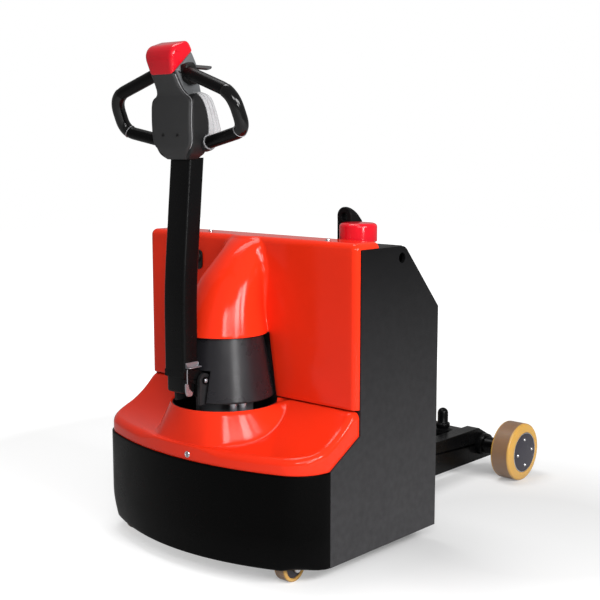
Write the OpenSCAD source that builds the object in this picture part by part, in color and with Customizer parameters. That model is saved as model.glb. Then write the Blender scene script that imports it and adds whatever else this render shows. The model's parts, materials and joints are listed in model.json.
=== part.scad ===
// Walk-behind electric tow tractor with a tiller, a drive wheel under its
// steering head and two trailing wheels on a tow frame. Millimetres, +Z up,
// operator's side at -Y, floor at Z = 0.

/* [Body shell] */
// Width over the side plates
body_w = 708; // [690:2:730]
// Thickness of the side plates
plate_t = 10; // [8:1:12]
// Gap between the floor and the apron's lower edge
ground_gap = 40; // [34:1:46]
// Height of the apron's upper edge
apron_top = 264; // [258:1:272]
// How far the apron bows out over its width
apron_bow = 82; // [76:1:88]
// Corner radius of the apron in plan
apron_corner = 104; // [96:1:110]
// Wall of the bent apron
apron_t = 6; // [4:1:8]
// How far the apron's lower corners tuck in
tuck_depth = 10; // [4:1:12]
// Height over which the apron's lower corners tuck in
tuck_h = 46; // [36:1:60]
// Height of the side plates' top edge
plate_top = 756; // [740:2:760]
// Height where the side plates' slanted front shoulder ends
shoulder_z = 326; // [320:1:332]
// Distance from the apron's front to the side plates' upper front edge
plate_upper_y = 255; // [252:1:260]
// Distance from the apron's front to the rear end of the plates' top edge
plate_crest_y = 418; // [412:1:430]
// Distance from the apron's front to the plates' rear edge
plate_rear_y = 557; // [540:1:575]
// Height where the plates' rear bevel ends
bevel_z = 598; // [570:2:620]
// Radius of the lifting hole in each side plate
lift_hole_r = 12.5; // [10:0.5:14]

/* [Covers] */
// Wall of the moulded covers
cover_t = 4; // [3:0.5:5]
// Height of the lower cover's rim above the apron
rim_h = 36; // [30:1:42]
// How far the rim stands back from the apron's outer face
rim_inset = 4; // [2:0.5:5]
// Radius of the crease between the rim and the deck
crease_r = 18; // [12:1:22]
// Height of the seam between the two covers
seam_z = 384; // [380:1:390]
// Height of the upper cover's top
cover_top = 771; // [768:1:790]
// Distance from the apron's front to the upper cover's face
face_y = 238; // [234:1:242]
// Distance from the apron's front to the rear end of the upper cover
cover_rear_y = 323; // [315:1:330]
// Radius of the collar's mouth around the steering head
collar_r = 131; // [129:1:134]
// Height of the collar's mouth
collar_z = 375; // [370:1:378]
// Radius of the collar where it leaves the deck
collar_base_r = 153; // [148:1:158]
// Radius of the nose's lower edge
nose_r = 106; // [104:1:108]
// Height of the nose's lower edge
nose_z = 543; // [540:1:560]
// Radius of the nose where it meets the cover's top
nose_top_r = 90; // [80:1:110]

/* [Steering head] */
// Distance from the apron's front to the steering axis
axis_y = 166; // [164:1:170]
// Lower radius of the cone over the drive motor
cone_r = 122; // [118:1:124]
// Upper radius of the cone
cone_top_r = 94; // [90:1:95]
// Height of the cone's lower edge
cone_z = 392; // [388:1:398]
// Radius of the upright drive motor
motor_r = 70; // [60:1:72]
// Radius of the turntable in its bearing ring
turntable_r = 100; // [95:1:104]
// Height of the tiller's tilt axis
tilt_z = 445; // [442:1:450]
// Distance from the apron's front to the tilt axis
tilt_y = 60; // [58:1:62]
// Radius of the tilt pin
tilt_pin_r = 9; // [7:0.5:10]

/* [Tiller] */
// Width of the tiller's box tube
tube_w = 68; // [60:1:70]
// Depth of the tiller's box tube
tube_d = 47; // [42:1:49]
// Radius of the box tube's edges
tube_edge_r = 7; // [4:1:10]
// Distance from the apron's front to the tube's front face
tube_y = 3; // [0:1:4]
// Height where the tube bends back
tube_bend_z = 660; // [640:5:700]
// Height of the tube's upper end
tube_top_z = 962; // [950:1:980]
// How far the tube leans back above its bend
tube_lean = 27; // [15:1:32]
// Width of the head's moulded housing
head_w = 128; // [120:1:136]
// Height of the head's moulded housing
housing_h = 134; // [128:1:140]
// Width of the belly button
button_w = 84; // [76:1:90]
// Thickness of the loop handles
grip_d = 28; // [24:1:32]
// Distance between the middles of the two handles' outer runs
grip_span = 386; // [360:2:400]

/* [Wheels] */
// Radius of the drive wheel
drive_r = 105; // [100:1:110]
// Width of the drive wheel
drive_w = 70; // [60:1:75]
// Radius of the trailing wheels
rear_r = 85; // [80:1:90]
// Width of the trailing wheels
rear_w = 62; // [56:1:66]
// Distance between the outer faces of the trailing wheels
rear_track = 508; // [490:2:530]
// Distance from the apron's front to the rear axle
rear_axle_y = 1152; // [1130:2:1170]
// Radius of the castor wheels
castor_r = 36; // [32:1:37]
// Width of the castor wheels
castor_w = 34; // [28:1:35]
// Distance of each castor's swivel axis from the body's side
castor_inset = 90; // [88:1:98]
// Distance from the apron's front to the castors' swivel axes
castor_y = 130; // [128:1:136]
// Offset of a castor's wheel from its swivel axis
castor_trail = 18; // [14:1:19]

/* [Tow frame] */
// Distance of each arm's inner face from the middle
arm_x = 60; // [56:1:66]
// Width of a tow arm
arm_w = 46; // [40:1:50]
// Height of a tow arm
arm_h = 99; // [90:1:104]
// Radius of the tow pin
tow_pin_r = 16; // [14:0.5:18]
// Distance from the apron's front to the tow pin
tow_pin_y = 1100; // [1090:1:1106]
// Height of the tow pin's domed top
tow_pin_top = 189; // [180:1:200]

/* [Hidden] */
$fn = 96;

red = "orangered";
black = [0.09, 0.09, 0.1];
grey = [0.28, 0.28, 0.3];
steel = "silver";
amber = "goldenrod";

// Clearances
run_gap = 0.05;
seat_gap = 0.3;
join = 1;

// Plan of the apron: two corner arcs joined by one wide bow
half_w = body_w / 2;
inner_w = half_w - plate_t;
castor_x = half_w - castor_inset;
bow_r = (half_w * half_w + apron_bow * apron_bow) / (2 * apron_bow);
corner_x = half_w - apron_corner;
corner_y = bow_r - sqrt(pow(bow_r - apron_corner, 2) - corner_x * corner_x);
bow_a = atan2(bow_r - corner_y, corner_x);
plate_front_y = corner_y;

// Heights of the decks
deck_t = 8;
deck_top = apron_top - 6;
deck_z = deck_top - deck_t;
deck_rear_y = plate_upper_y + 45;
rear_axle_z = rear_r;
arm_z = rear_axle_z - arm_h / 2;
arm_top = arm_z + arm_h;
panel_t = 6;

// The head's places are measured from the middle of the tube's upper end
head_y = tube_y + tube_lean + tube_d / 2;
head_z = tube_top_z;
button_reach = 84;

// Everything is laid out from the apron's foremost line, and the middle of the
// whole length is then moved to the origin
front_reach = (rear_axle_y + rear_r + head_y - button_reach) / 2;
module from_front() { translate([0, -front_reach, 0]) children(); }
module on_side(side) { mirror([side < 0 ? 1 : 0, 0, 0]) children(); }
module both_sides() { for (side = [-1, 1]) on_side(side) children(); }
// A profile in the YZ plane, extruded along X from x0
module side_slab(x0, width) { translate([x0, 0, 0]) rotate([90, 0, 90]) linear_extrude(width) children(); }
// The same, centred, with its long edges bevelled
module soft_slab(width, edge) hull() {
  side_slab(edge - width / 2, width - 2 * edge) children();
  side_slab(-width / 2, width) offset(delta = -edge) children();
}
// A turned shape on an axle along X
module on_axle(x, y, z) { translate([x, y, z]) rotate([0, 90, 0]) children(); }
// A round bar between two points
module bar(a, b, r) {
  v = b - a;
  translate(a) rotate([0, acos(v[2] / norm(v)), atan2(v[1], v[0])]) cylinder(r = r, h = norm(v));
}

function unit(v) = v / norm(v);
function spread(from, to, steps) = [for (i = [0:steps]) from + (to - from) * i / steps];
function reverse(list) = [for (i = [len(list) - 1:-1:0]) list[i]];
// Points of a rounded corner from one direction to another
function arc(centre, r, from, to, steps = 8) =
  [for (a = spread(from, to, steps)) centre + r * [cos(a), sin(a)]];
// A rounded rectangle at height z, its front and back at y0 and y1
function rounded_ring(width, y0, y1, r, z, fan = 4) =
  let (x = width / 2 - r)
  [for (corner = [[x, y0 + r, -90], [x, y1 - r, 0], [-x, y1 - r, 90], [-x, y0 + r, 180]],
        p = arc([corner[0], corner[1]], r, corner[2], corner[2] + 90, fan)) [p[0], p[1], z]];

// A solid through rings of equally many points, counter-clockwise seen from the last one
function facets(a, b, c, d) = [[a, b, c], [a, c, d]];
module loft(rings) {
  n = len(rings[0]);
  last = len(rings) - 1;
  sides = [for (i = [0:last - 1], j = [0:n - 1]) let (k = (j + 1) % n)
    each facets(i * n + j, (i + 1) * n + j, (i + 1) * n + k, i * n + k)];
  first_end = [for (j = [0:n / 2 - 2]) each facets(j, j + 1, n - 2 - j, n - 1 - j)];
  last_end = [for (j = [0:n / 2 - 2]) each facets(n - 1 - j, n - 2 - j, j + 1, j)];
  polyhedron([for (ring = rings) each ring],
             concat(sides, first_end, [for (f = last_end) [for (i = f) last * n + i]]));
}
// A wall between an outer and an inner line of points, carried along its stations
module shell_loft(stations) loft([for (s = stations) concat(s[1], reverse(s[0]))]);

// Directions that the apron's outer face looks in, from its left end to its right end
corner_steps = 12;
bow_steps = 18;
facings = concat(spread(-180, bow_a - 180, corner_steps),
                 [for (i = [1:bow_steps - 1]) bow_a - 180 + (180 - 2 * bow_a) * i / bow_steps],
                 spread(-bow_a, 0, corner_steps));
function outline(a, inset) =
  let (side = a <= bow_a - 180 ? -1 : a >= -bow_a ? 1 : 0,
       centre = side == 0 ? [0, bow_r] : [side * corner_x, corner_y],
       r = side == 0 ? bow_r : apron_corner)
  centre + (r - inset) * [cos(a), sin(a)];

// Chassis plates
module base_plate() color(black) from_front() {
  difference() {
    translate([0, 0, deck_z]) linear_extrude(deck_t) intersection() {
      polygon(concat([for (a = facings) outline(a, apron_t + seat_gap)],
                     [[half_w, deck_rear_y], [-half_w, deck_rear_y]]));
      translate([-inner_w, 0]) square([2 * inner_w, deck_rear_y]);
    }
    translate([0, axis_y, deck_z - join]) cylinder(r = turntable_r + 2, h = deck_t + 2 * join);
    for (side = [-1, 1]) translate([side * castor_x, castor_y, deck_z - join])
      cylinder(r = mount_bore_r, h = deck_t + 2 * join);
  }
}

module battery_floor() color(black) from_front()
  side_slab(-inner_w, 2 * inner_w)
    polygon([[deck_rear_y, deck_top], [deck_rear_y, arm_top], [plate_rear_y - panel_t, arm_top],
             [plate_rear_y - panel_t, arm_top + deck_t], [deck_rear_y + deck_t, arm_top + deck_t],
             [deck_rear_y + deck_t, deck_top]]);

// Side plates, with a rounded crest above the rear bevel
plate_corner_r = 8;
crest_r = 28;
bevel_a = atan2(plate_top - bevel_z, plate_rear_y - plate_crest_y);
crest_y = plate_crest_y - crest_r * tan(bevel_a / 2);
module plate_outline()
  polygon(concat([[plate_front_y, ground_gap], [plate_front_y, apron_top], [plate_upper_y, shoulder_z]],
                 arc([plate_upper_y + plate_corner_r, plate_top - plate_corner_r], plate_corner_r, 180, 90),
                 arc([crest_y, plate_top - crest_r], crest_r, 90, 90 - bevel_a),
                 [[plate_rear_y, bevel_z], [plate_rear_y, ground_gap]]));
lift_hole_y = plate_crest_y - 11;
lift_hole_z = plate_top - 28;
module side_plate(side) color(black) from_front() on_side(side) difference() {
  side_slab(inner_w, plate_t) plate_outline();
  on_axle(inner_w - join, lift_hole_y, lift_hole_z) cylinder(r = lift_hole_r, h = plate_t + 2 * join);
}

// Apron, lofted so that its lower corners tuck in
tuck_steps = 5;
apron_levels = concat(spread(ground_gap, ground_gap + tuck_h, tuck_steps), [apron_top]);
function tuck(a, z) =
  let (t = max(0, 1 - (z - ground_gap) / tuck_h))
  tuck_depth * pow(sin(2 * a), 2) * (1 - sqrt(1 - t * t));
function apron_wall(a, inset) =
  [for (z = apron_levels) let (p = outline(a, inset + tuck(a, z))) [p[0], p[1], z]];
module front_apron() color(black) from_front()
  shell_loft([for (a = facings) [apron_wall(a, 0), apron_wall(a, apron_t)]]);

// Lower cover: a rim, a rounded crease, a deck that rises ever more steeply
// towards the seam, and a conical collar around the steering head
rim_z = apron_top + rim_h;
deck_rise = 2.3;
side_steps = 5;
deck_steps = 5;
crease_steps = 4;
collar_foot = 12;
collar_ledge = 4;
foot_share = 0.06;
cover_side_x = half_w - rim_inset;
cover_end_y = plate_upper_y - seat_gap;
axis = [0, axis_y];
function deck_height(y) = rim_z + (seam_z - rim_z) * pow(min(1, max(0, y / face_y)), deck_rise);
function rim_low(y) = apron_top + seat_gap
  + max(0, y - plate_front_y) * (shoulder_z - apron_top) / (plate_upper_y - plate_front_y);
// Stations along the rim, each a place and the direction that it faces
rim_stations = concat(
  [for (i = [0:side_steps - 1])
     [[-cover_side_x, cover_end_y + (corner_y - cover_end_y) * i / side_steps], -180]],
  [for (a = facings) [outline(a, rim_inset), a]],
  [for (i = [1:side_steps])
     [[cover_side_x, corner_y + (cover_end_y - corner_y) * i / side_steps], 0]]);
// Direction from the steering axis to the collar's point that a station is joined to
mouth_a = asin((face_y - axis_y) / collar_r);
end_a = atan2(cover_end_y - axis_y, cover_side_x);
function mate(p) =
  let (a = -90 + (atan2(p[1] - axis_y, abs(p[0])) + 90) * (mouth_a + 90) / (end_a + 90))
  [sign(p[0]) * cos(a), sin(a)];
// Section of the cover at a station, its wall taken off by t. In front the collar
// leaves little room for the deck, so the crease and the collar's foot get smaller,
// and the collar ends a ledge's width behind the rim.
function cover_line(station, t) =
  let (p = station[0], n = [cos(station[1]), sin(station[1])], m = mate(p),
       base_r = min(collar_base_r, norm(p - axis) - collar_ledge), room = norm(p - axis) - base_r,
       crease = min(crease_r, room / 2), inner = max(crease - t, seat_gap),
       start = p - n * crease, foot = axis + m * (base_r + min(collar_foot, room / 4) - t),
       base = axis + m * (base_r - t), base_z = deck_height(base[1]),
       mouth = axis + m * (collar_r - t), mouth_z = max(collar_z, deck_height(axis_y + collar_r * m[1])))
  concat([concat(p - n * t, rim_low(p[1]))],
         [for (f = spread(0, 90, crease_steps))
            concat(start + n * inner * cos(f), deck_height(start[1]) - crease + inner * sin(f))],
         [for (s = [1:deck_steps]) let (q = start + (foot - start) * s / deck_steps)
            concat(q, deck_height(q[1]) - t)],
         [concat(base, base_z - t + (mouth_z - base_z) * foot_share), concat(mouth, mouth_z)]);
module lower_cover() color(red) from_front()
  shell_loft([for (s = rim_stations) [cover_line(s, 0), cover_line(s, cover_t)]]);

// Upper cover: a rounded block over the plates with a nose above the cone
edge_r = plate_upper_y - face_y - join;
cover_w = half_w - 2;
module cover_block(inset, rear, low) hull() for (side = [-1, 1]) {
  r = edge_r - inset;
  translate([side * (cover_w - edge_r), 0, 0]) {
    translate([0, face_y + edge_r, cover_top - edge_r]) sphere(r, $fn = 32);
    translate([0, face_y + edge_r, low]) cylinder(r = r, h = join, $fn = 32);
    translate([0, rear - join, cover_top - edge_r]) rotate([-90, 0, 0]) cylinder(r = r, h = join, $fn = 32);
    translate([-r, rear - join, low]) cube([2 * r, join, join]);
  }
}
// The nose: arcs in front of the cover's face, which swing back to it as they rise. Each
// row has its share of the height and of the way back to the face, and its radius.
nose_drop = 6;
nose_steps = 23;
nose_rows = [[0, 0, nose_r], [0.26, 0.11, 0.87 * nose_r], [0.44, 0.22, 0.79 * nose_r],
             [0.62, 0.365, 0.71 * nose_r], [0.75, 0.53, 0.63 * nose_r], [0.89, 0.725, 0.6 * nose_r],
             [1, 0.92, nose_top_r]];
function nose_ring(row, inset, z) =
  let (r = row[2], y = axis_y - nose_r + row[1] * (face_y - axis_y + nose_r) + r,
       a = asin((face_y + edge_r - y) / (r - inset)))
  [for (p = arc([0, y], r - inset, 180 - a, 360 + a, nose_steps)) [p[0], p[1], z]];
nose_h = cover_top - nose_drop - nose_z;
module nose(inset) loft([for (row = nose_rows)
  nose_ring(row, inset, nose_z + row[0] * nose_h - (row[0] > 0 ? 2 * inset : inset))]);
recess_gap = 7;
module upper_cover() color(red) from_front() difference() {
  union() {
    cover_block(0, cover_rear_y, seam_z + seat_gap);
    nose(0);
  }
  cover_block(cover_t, cover_rear_y + 2 * join, seam_z - join);
  translate([-body_w, plate_upper_y - seat_gap, 0]) cube([2 * body_w, body_w, plate_top + seat_gap]);
  nose(cover_t);
  translate([0, axis_y, seam_z - join])
    cylinder(r1 = cone_r + recess_gap, r2 = nose_r + join, h = nose_z - seam_z + join);
}

module rear_panel() color(black) from_front()
  side_slab(-inner_w, 2 * inner_w)
    polygon([[cover_rear_y, plate_top], [plate_crest_y, plate_top], [plate_rear_y, bevel_z],
             [plate_rear_y, arm_top], [plate_rear_y - panel_t, arm_top],
             [plate_rear_y - panel_t, bevel_z - panel_t * tan(bevel_a / 2)],
             [plate_crest_y - panel_t * tan(bevel_a / 2), plate_top - panel_t],
             [cover_rear_y, plate_top - panel_t]]);

battery_side_gap = 44;
battery_end_gap = 8;
battery_h = 410;
battery_w = 2 * (inner_w - battery_side_gap);
battery_y = deck_rear_y + deck_t + battery_end_gap;
module battery() color(grey) from_front()
  translate([-battery_w / 2, battery_y, arm_top + deck_t])
    cube([battery_w, plate_rear_y - panel_t - battery_end_gap - battery_y, battery_h]);

ring_w = 30;
ring_h = 22;
module slewing_ring() color(steel) from_front() translate([0, axis_y, deck_top]) difference() {
  cylinder(r = turntable_r + ring_w, h = ring_h);
  translate([0, 0, -join]) cylinder(r = turntable_r, h = ring_h + 2 * join);
}

// Castors
stem_r = 10;
stem_h = 52;
mount_bore_r = 22;
flange_r = 36;
flange_h = 10;
fork_gap = 2;
fork_top = 2 * castor_r + 22;
module castor_mounts() color(black) from_front() both_sides() translate([castor_x, castor_y, 0]) difference() {
  union() {
    translate([0, 0, fork_top + fork_gap])
      cylinder(r = mount_bore_r - run_gap, h = deck_top + 2 * fork_gap - fork_top);
    translate([0, 0, deck_z - flange_h]) cylinder(r = flange_r, h = flange_h);
  }
  translate([0, 0, fork_top]) cylinder(r = stem_r + run_gap, h = stem_h + 2 * fork_gap);
}
fork_t = 5;
fork_crown_r = 24;
fork_foot_r = 11;
castor_axle_r = 6;
leg_x = castor_w / 2 + fork_t;
module castor_fork(side) color(steel) from_front() on_side(side) translate([castor_x, castor_y, 0]) {
  translate([0, 0, fork_top - 2 * fork_t]) cylinder(r = fork_crown_r, h = 2 * fork_t);
  translate([0, 0, fork_top - join]) cylinder(r = stem_r, h = stem_h);
  for (leg = [-1, 1]) side_slab(leg > 0 ? leg_x : -leg_x - fork_t, fork_t) {
    translate([-castor_trail, castor_r]) circle(fork_foot_r);
    polygon([[-castor_trail + fork_foot_r, castor_r], [fork_crown_r - fork_t, fork_top - 2 * fork_t],
             [fork_crown_r - fork_t, fork_top], [-castor_trail - fork_foot_r, fork_top],
             [-castor_trail - fork_foot_r, castor_r]]);
  }
  translate([-leg_x - fork_t, -castor_trail - fork_foot_r, fork_top - 2 * fork_t])
    cube([2 * (leg_x + fork_t), castor_trail + fork_foot_r + fork_crown_r - fork_t, 2 * fork_t]);
  on_axle(-leg_x - fork_t, -castor_trail, castor_r) cylinder(r = castor_axle_r, h = 2 * (leg_x + fork_t));
}
castor_tread = 9;
castor_bevel = 4;
castor_rim_r = castor_r - castor_tread;
module castor_tyre(side) color(amber) from_front() on_side(side)
  on_axle(castor_x, castor_y - castor_trail, castor_r)
    wheel_ring(castor_r, castor_rim_r, castor_w, castor_bevel);
module castor_hub(side) color(grey) from_front() on_side(side)
  on_axle(castor_x, castor_y - castor_trail, castor_r) difference() {
    union() {
      cylinder(r = castor_rim_r - run_gap, h = castor_w - 6, center = true);
      cylinder(r = castor_axle_r + fork_t, h = castor_w + fork_t + join, center = true);
    }
    cylinder(r = castor_axle_r + run_gap, h = 2 * castor_w, center = true);
  }
// A tyre with bevelled shoulders, its axle along Z
module wheel_ring(r, bore_r, width, bevel) rotate_extrude()
  polygon([[bore_r, -width / 2], [r - bevel, -width / 2], [r, bevel - width / 2],
           [r, width / 2 - bevel], [r - bevel, width / 2], [bore_r, width / 2]]);

// Tow frame
axle_r = 25;
boss_r = 33;
boss_l = 22;
journal_r = 20;
arm_overhang = 64;
arm_nose_h = 10;
arm_foot = 6;
hub_x = rear_track / 2 - rear_w;
arm_rear_y = rear_axle_y + arm_overhang;
module tow_arm(side) color(black) from_front() on_side(side) difference() {
  side_slab(arm_x, arm_w)
    polygon([[deck_rear_y, arm_z], [deck_rear_y, arm_top], [rear_axle_y - arm_nose_h, arm_top],
             [arm_rear_y, rear_axle_z + arm_nose_h], [arm_rear_y, arm_z + arm_foot],
             [arm_rear_y - arm_foot, arm_z]]);
  on_axle(arm_x - join, rear_axle_y, rear_axle_z) cylinder(r = axle_r + run_gap, h = arm_w + 2 * join);
}
hub_gap = 4;
axle_end_gap = 12;
module rear_axle() color(black) from_front() on_axle(0, rear_axle_y, rear_axle_z) {
  cylinder(r = axle_r, h = 2 * (hub_x - hub_gap), center = true);
  cylinder(r = journal_r, h = rear_track - 2 * axle_end_gap, center = true);
  for (side = [-1, 1]) translate([0, 0, side * (arm_x + arm_w + boss_l / 2)])
    cylinder(r = boss_r, h = boss_l, center = true);
}
hitch_t = 12;
hitch_reach = 48;
hitch_z = rear_axle_z + axle_r + join;
module hitch_plate() color(black) from_front()
  translate([-arm_x, tow_pin_y - hitch_reach, hitch_z]) cube([2 * arm_x, 2 * hitch_reach, hitch_t]);
// The tow pin: a turned foot, a collar with bevelled edges, the shaft and its dome
pin_foot_r = tow_pin_r + 14;
pin_foot_h = 7;
pin_collar_r = tow_pin_r + 6;
pin_collar_top = 20;
pin_bevel = 3;
pin_z = hitch_z + hitch_t;
module tow_pin() color(black) from_front() translate([0, tow_pin_y, pin_z]) {
  rotate_extrude() polygon([[0, 0], [pin_foot_r, 0], [pin_foot_r, join], [tow_pin_r + join, pin_foot_h],
                            [pin_collar_r - pin_bevel, pin_foot_h], [pin_collar_r, pin_foot_h + pin_bevel],
                            [pin_collar_r, pin_collar_top - pin_bevel],
                            [pin_collar_r - pin_bevel, pin_collar_top], [0, pin_collar_top]]);
  cylinder(r = tow_pin_r, h = tow_pin_top - tow_pin_r - pin_z);
  translate([0, 0, tow_pin_top - tow_pin_r - pin_z]) sphere(tow_pin_r);
}
rear_tread = 27;
rear_bevel = 7;
rear_rim_r = rear_r - rear_tread;
module rear_tyre(side) color(amber) from_front() on_side(side)
  on_axle(rear_track / 2 - rear_w / 2, rear_axle_y, rear_axle_z)
    wheel_ring(rear_r, rear_rim_r, rear_w, rear_bevel);
// Trailing wheel's hub, its outer face a disc sunk inside a raised ring
disc_ring = 5;
disc_depth = 2.5;
hub_l = rear_w - 5;
module rear_hub(side) color(grey) from_front() on_side(side)
  on_axle(hub_x + disc_depth, rear_axle_y, rear_axle_z) difference() {
    cylinder(r = rear_rim_r - run_gap, h = hub_l);
    translate([0, 0, -join]) cylinder(r = journal_r + run_gap, h = rear_w - axle_end_gap + join);
    translate([0, 0, hub_l - disc_depth]) cylinder(r = rear_rim_r - disc_ring, h = disc_depth + join);
  }

// Fittings on top
knob_r = 42;
knob_h = 52;
knob_base_h = 8;
knob_edge = 6;
knob_x = half_w - 101;
knob_y = cover_rear_y + knob_r + 2;
module stop_knob() color("crimson") from_front() translate([knob_x, knob_y, plate_top])
  rotate_extrude() polygon(concat([[0, 0], [knob_r - knob_base_h, 0], [knob_r - knob_base_h, knob_base_h],
                                   [knob_r, knob_base_h]],
                                  arc([knob_r - knob_edge, knob_h - knob_edge], knob_edge, 0, 90),
                                  [[0, knob_h]]));
// Lifting eye: a hooded lug on the crest, with a hole through it
eye_x = half_w - 173;
eye_front = 18;
eye_w = 44;
eye_l = 46;
eye_h = 85;
eye_tail_h = 50;
eye_hole_r = 9;
eye_hole_h = 61;
eye_y = plate_crest_y - eye_front;
module lifting_eye() color(black) from_front() translate([eye_x, eye_y, plate_top]) difference() {
  intersection() {
    rotate([90, 0, 180]) linear_extrude(eye_l) {
      translate([0, eye_h - eye_w / 2]) circle(eye_w / 2);
      translate([-eye_w / 2, -eye_l]) square([eye_w, eye_l + eye_h - eye_w / 2]);
    }
    side_slab(-eye_w, 2 * eye_w)
      polygon([[0, 0], [0, eye_h], [eye_l / 4, eye_h], [eye_l, eye_tail_h],
               [eye_l, (eye_front - eye_l) * tan(bevel_a)], [eye_front, 0]]);
  }
  translate([0, eye_l + join, eye_hole_h]) rotate([90, 0, 0]) cylinder(r = eye_hole_r, h = eye_l + 2 * join);
}
key_x = -150;
key_drop = 58;
key_r = 16;
key_h = 8;
key_z = cover_top - key_drop;
module key_switch() color(black) from_front() translate([key_x, face_y, key_z]) rotate([90, 0, 0]) {
  cylinder(r = key_r, h = key_h);
  translate([0, 0, key_h]) cylinder(r = 0.62 * key_r, h = key_h);
}

// Steering head
cone_h = nose_z - cone_z;
notch_w = 112;
notch_h = 42;
module steering_cone() color(grey) from_front() difference() {
  translate([0, axis_y, cone_z]) cylinder(r1 = cone_r, r2 = cone_top_r, h = cone_h);
  translate([0, axis_y, cone_z - join])
    cylinder(r1 = cone_r - cover_t, r2 = cone_top_r - cover_t, h = cone_h - cover_t + join);
  translate([-notch_w / 2, 0, cone_z - join])
    cube([notch_w, axis_y - motor_r + 2 * cover_t, tilt_z + notch_h - cone_z]);
}
turntable_h = 44;
turntable_z = deck_top + ring_h + 4 - turntable_h;
motor_z = turntable_z + turntable_h;
module drive_motor() color(grey) from_front() translate([0, axis_y, motor_z])
  cylinder(r = motor_r, h = nose_z - cover_t - seat_gap - motor_z);
ear_x = tube_w / 2 + 2;
ear_t = 8;
ear_r = 17;
ear_drop = 4;
clamp_t = 10;
clamp_h = 68;
module steering_head() color(black) from_front() {
  translate([0, axis_y, cone_z]) difference() {
    cylinder(r = motor_r + clamp_t, h = clamp_h);
    translate([0, 0, -join]) cylinder(r = motor_r + run_gap, h = clamp_h + 2 * join);
  }
  for (side = [-1, 1]) difference() {
    side_slab(side > 0 ? ear_x : -ear_x - ear_t, ear_t) {
      translate([tilt_y, tilt_z]) circle(ear_r);
      polygon([[tilt_y - ear_r, cone_z - ear_drop], [tilt_y - ear_r, tilt_z], [tilt_y, tilt_z + ear_r],
               [axis_y - motor_r + clamp_t, tilt_z], [axis_y - motor_r + clamp_t, cone_z - ear_drop]]);
    }
    on_axle(-ear_x - 2 * ear_t, tilt_y, tilt_z) cylinder(r = tilt_pin_r + run_gap, h = 2 * ear_x + 4 * ear_t);
  }
}
pin_end = 4;
module tilt_pin() color(steel) from_front()
  on_axle(0, tilt_y, tilt_z) cylinder(r = tilt_pin_r, h = 2 * (ear_x + ear_t + pin_end), center = true);

leg_gap = 7;
leg_w = 50;
leg_r = 60;
output_r = 25;
output_end = 10;
module drive_leg() color(grey) from_front() translate([0, axis_y, 0]) {
  translate([0, 0, turntable_z]) cylinder(r = turntable_r - run_gap, h = turntable_h);
  side_slab(drive_w / 2 + leg_gap, leg_w) {
    translate([0, drive_r]) circle(leg_r);
    translate([-leg_r, drive_r]) square([2 * leg_r, turntable_z + join - drive_r]);
  }
  on_axle(output_end - drive_w / 2, 0, drive_r)
    cylinder(r = output_r, h = drive_w + leg_gap + join - output_end);
}
drive_tread = 27;
drive_bevel = 6;
drive_rim_r = drive_r - drive_tread;
module drive_tyre() color(amber) from_front()
  on_axle(0, axis_y, drive_r) wheel_ring(drive_r, drive_rim_r, drive_w, drive_bevel);
module drive_hub() color(grey) from_front() on_axle(0, axis_y, drive_r) difference() {
  cylinder(r = drive_rim_r - run_gap, h = drive_w - 4, center = true);
  translate([0, 0, output_end - 2 - drive_w / 2]) cylinder(r = output_r + run_gap, h = drive_w);
}

// Tiller
foot_r = 18;
foot_h = 27;
foot_heel = 16;
tube_z = tilt_z + foot_h;
foot_w = tube_w - 2;
module tiller_foot() color(black) from_front() difference() {
  side_slab(-foot_w / 2, foot_w) {
    translate([tilt_y, tilt_z]) circle(foot_r);
    polygon([[tube_y, tube_z], [tube_y, tube_z - foot_heel], [tilt_y - 0.67 * foot_r, tilt_z - 0.72 * foot_r],
             [tilt_y + 0.78 * foot_r, tilt_z + 0.61 * foot_r], [tube_y + tube_d, tube_z]]);
  }
  on_axle(-tube_w, tilt_y, tilt_z) cylinder(r = tilt_pin_r + run_gap, h = 2 * tube_w);
}
function tube_ring(lean, z) = rounded_ring(tube_w, tube_y + lean, tube_y + lean + tube_d, tube_edge_r, z);
module tiller_tube() color(black) from_front()
  loft([tube_ring(0, tube_z), tube_ring(0, tube_bend_z), tube_ring(tube_lean, tube_top_z)]);

// Loop handles: one bent bar from a socket on the neck out, down and back to a
// socket on the housing
grip_path = [[62, -43, 183], [grip_span / 2, -48, 138], [grip_span / 2 + 1, -16, 62], [80, -16, 30]];
grip_bends = [0, 42, 38, 0];
grip_sides = 16;
bend_steps = 6;
socket_l = 28;
socket_r = grip_d / 2 + 4;
grip_in = unit(grip_path[1] - grip_path[0]);
grip_out = unit(grip_path[3] - grip_path[2]);
// The path with each bend drawn as a smooth curve between its two straight runs
grip_line = [for (i = [0:3]) each grip_bends[i] == 0 ? [grip_path[i]] :
  let (p = grip_path[i], u = grip_bends[i] * unit(grip_path[i - 1] - p),
       v = grip_bends[i] * unit(grip_path[i + 1] - p))
  [for (t = spread(0, 1, bend_steps)) p + u * pow(1 - t, 2) + v * pow(t, 2)]];
function grip_ring(i) =
  let (n = len(grip_line) - 1,
       along = unit(grip_line[min(n, i + 1)] - grip_line[max(0, i - 1)]),
       e = unit(cross([0, 1, 0], along)), f = cross(along, e))
  [for (k = [0:grip_sides - 1]) let (a = 360 * k / grip_sides)
     grip_line[i] + grip_d / 2 * (e * cos(a) + f * sin(a))];
module at_head() { translate([0, head_y, head_z]) children(); }
module handle(side) color(black) from_front() on_side(side) at_head()
  loft([for (i = [0:len(grip_line) - 1]) grip_ring(i)]);

// Housing of the head: a shield that widens from a chin on the tube, with
// rounded shoulders. Its rear cover starts at a slanted split.
chin_w = tube_w + 8;
chin_h = 26;
shoulder_h = 14;
housing_front = 50;
housing_edge_r = 12;
split_y = 28;
split_tilt = 0.125;
function split(z) = split_y - split_tilt * z;
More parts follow.
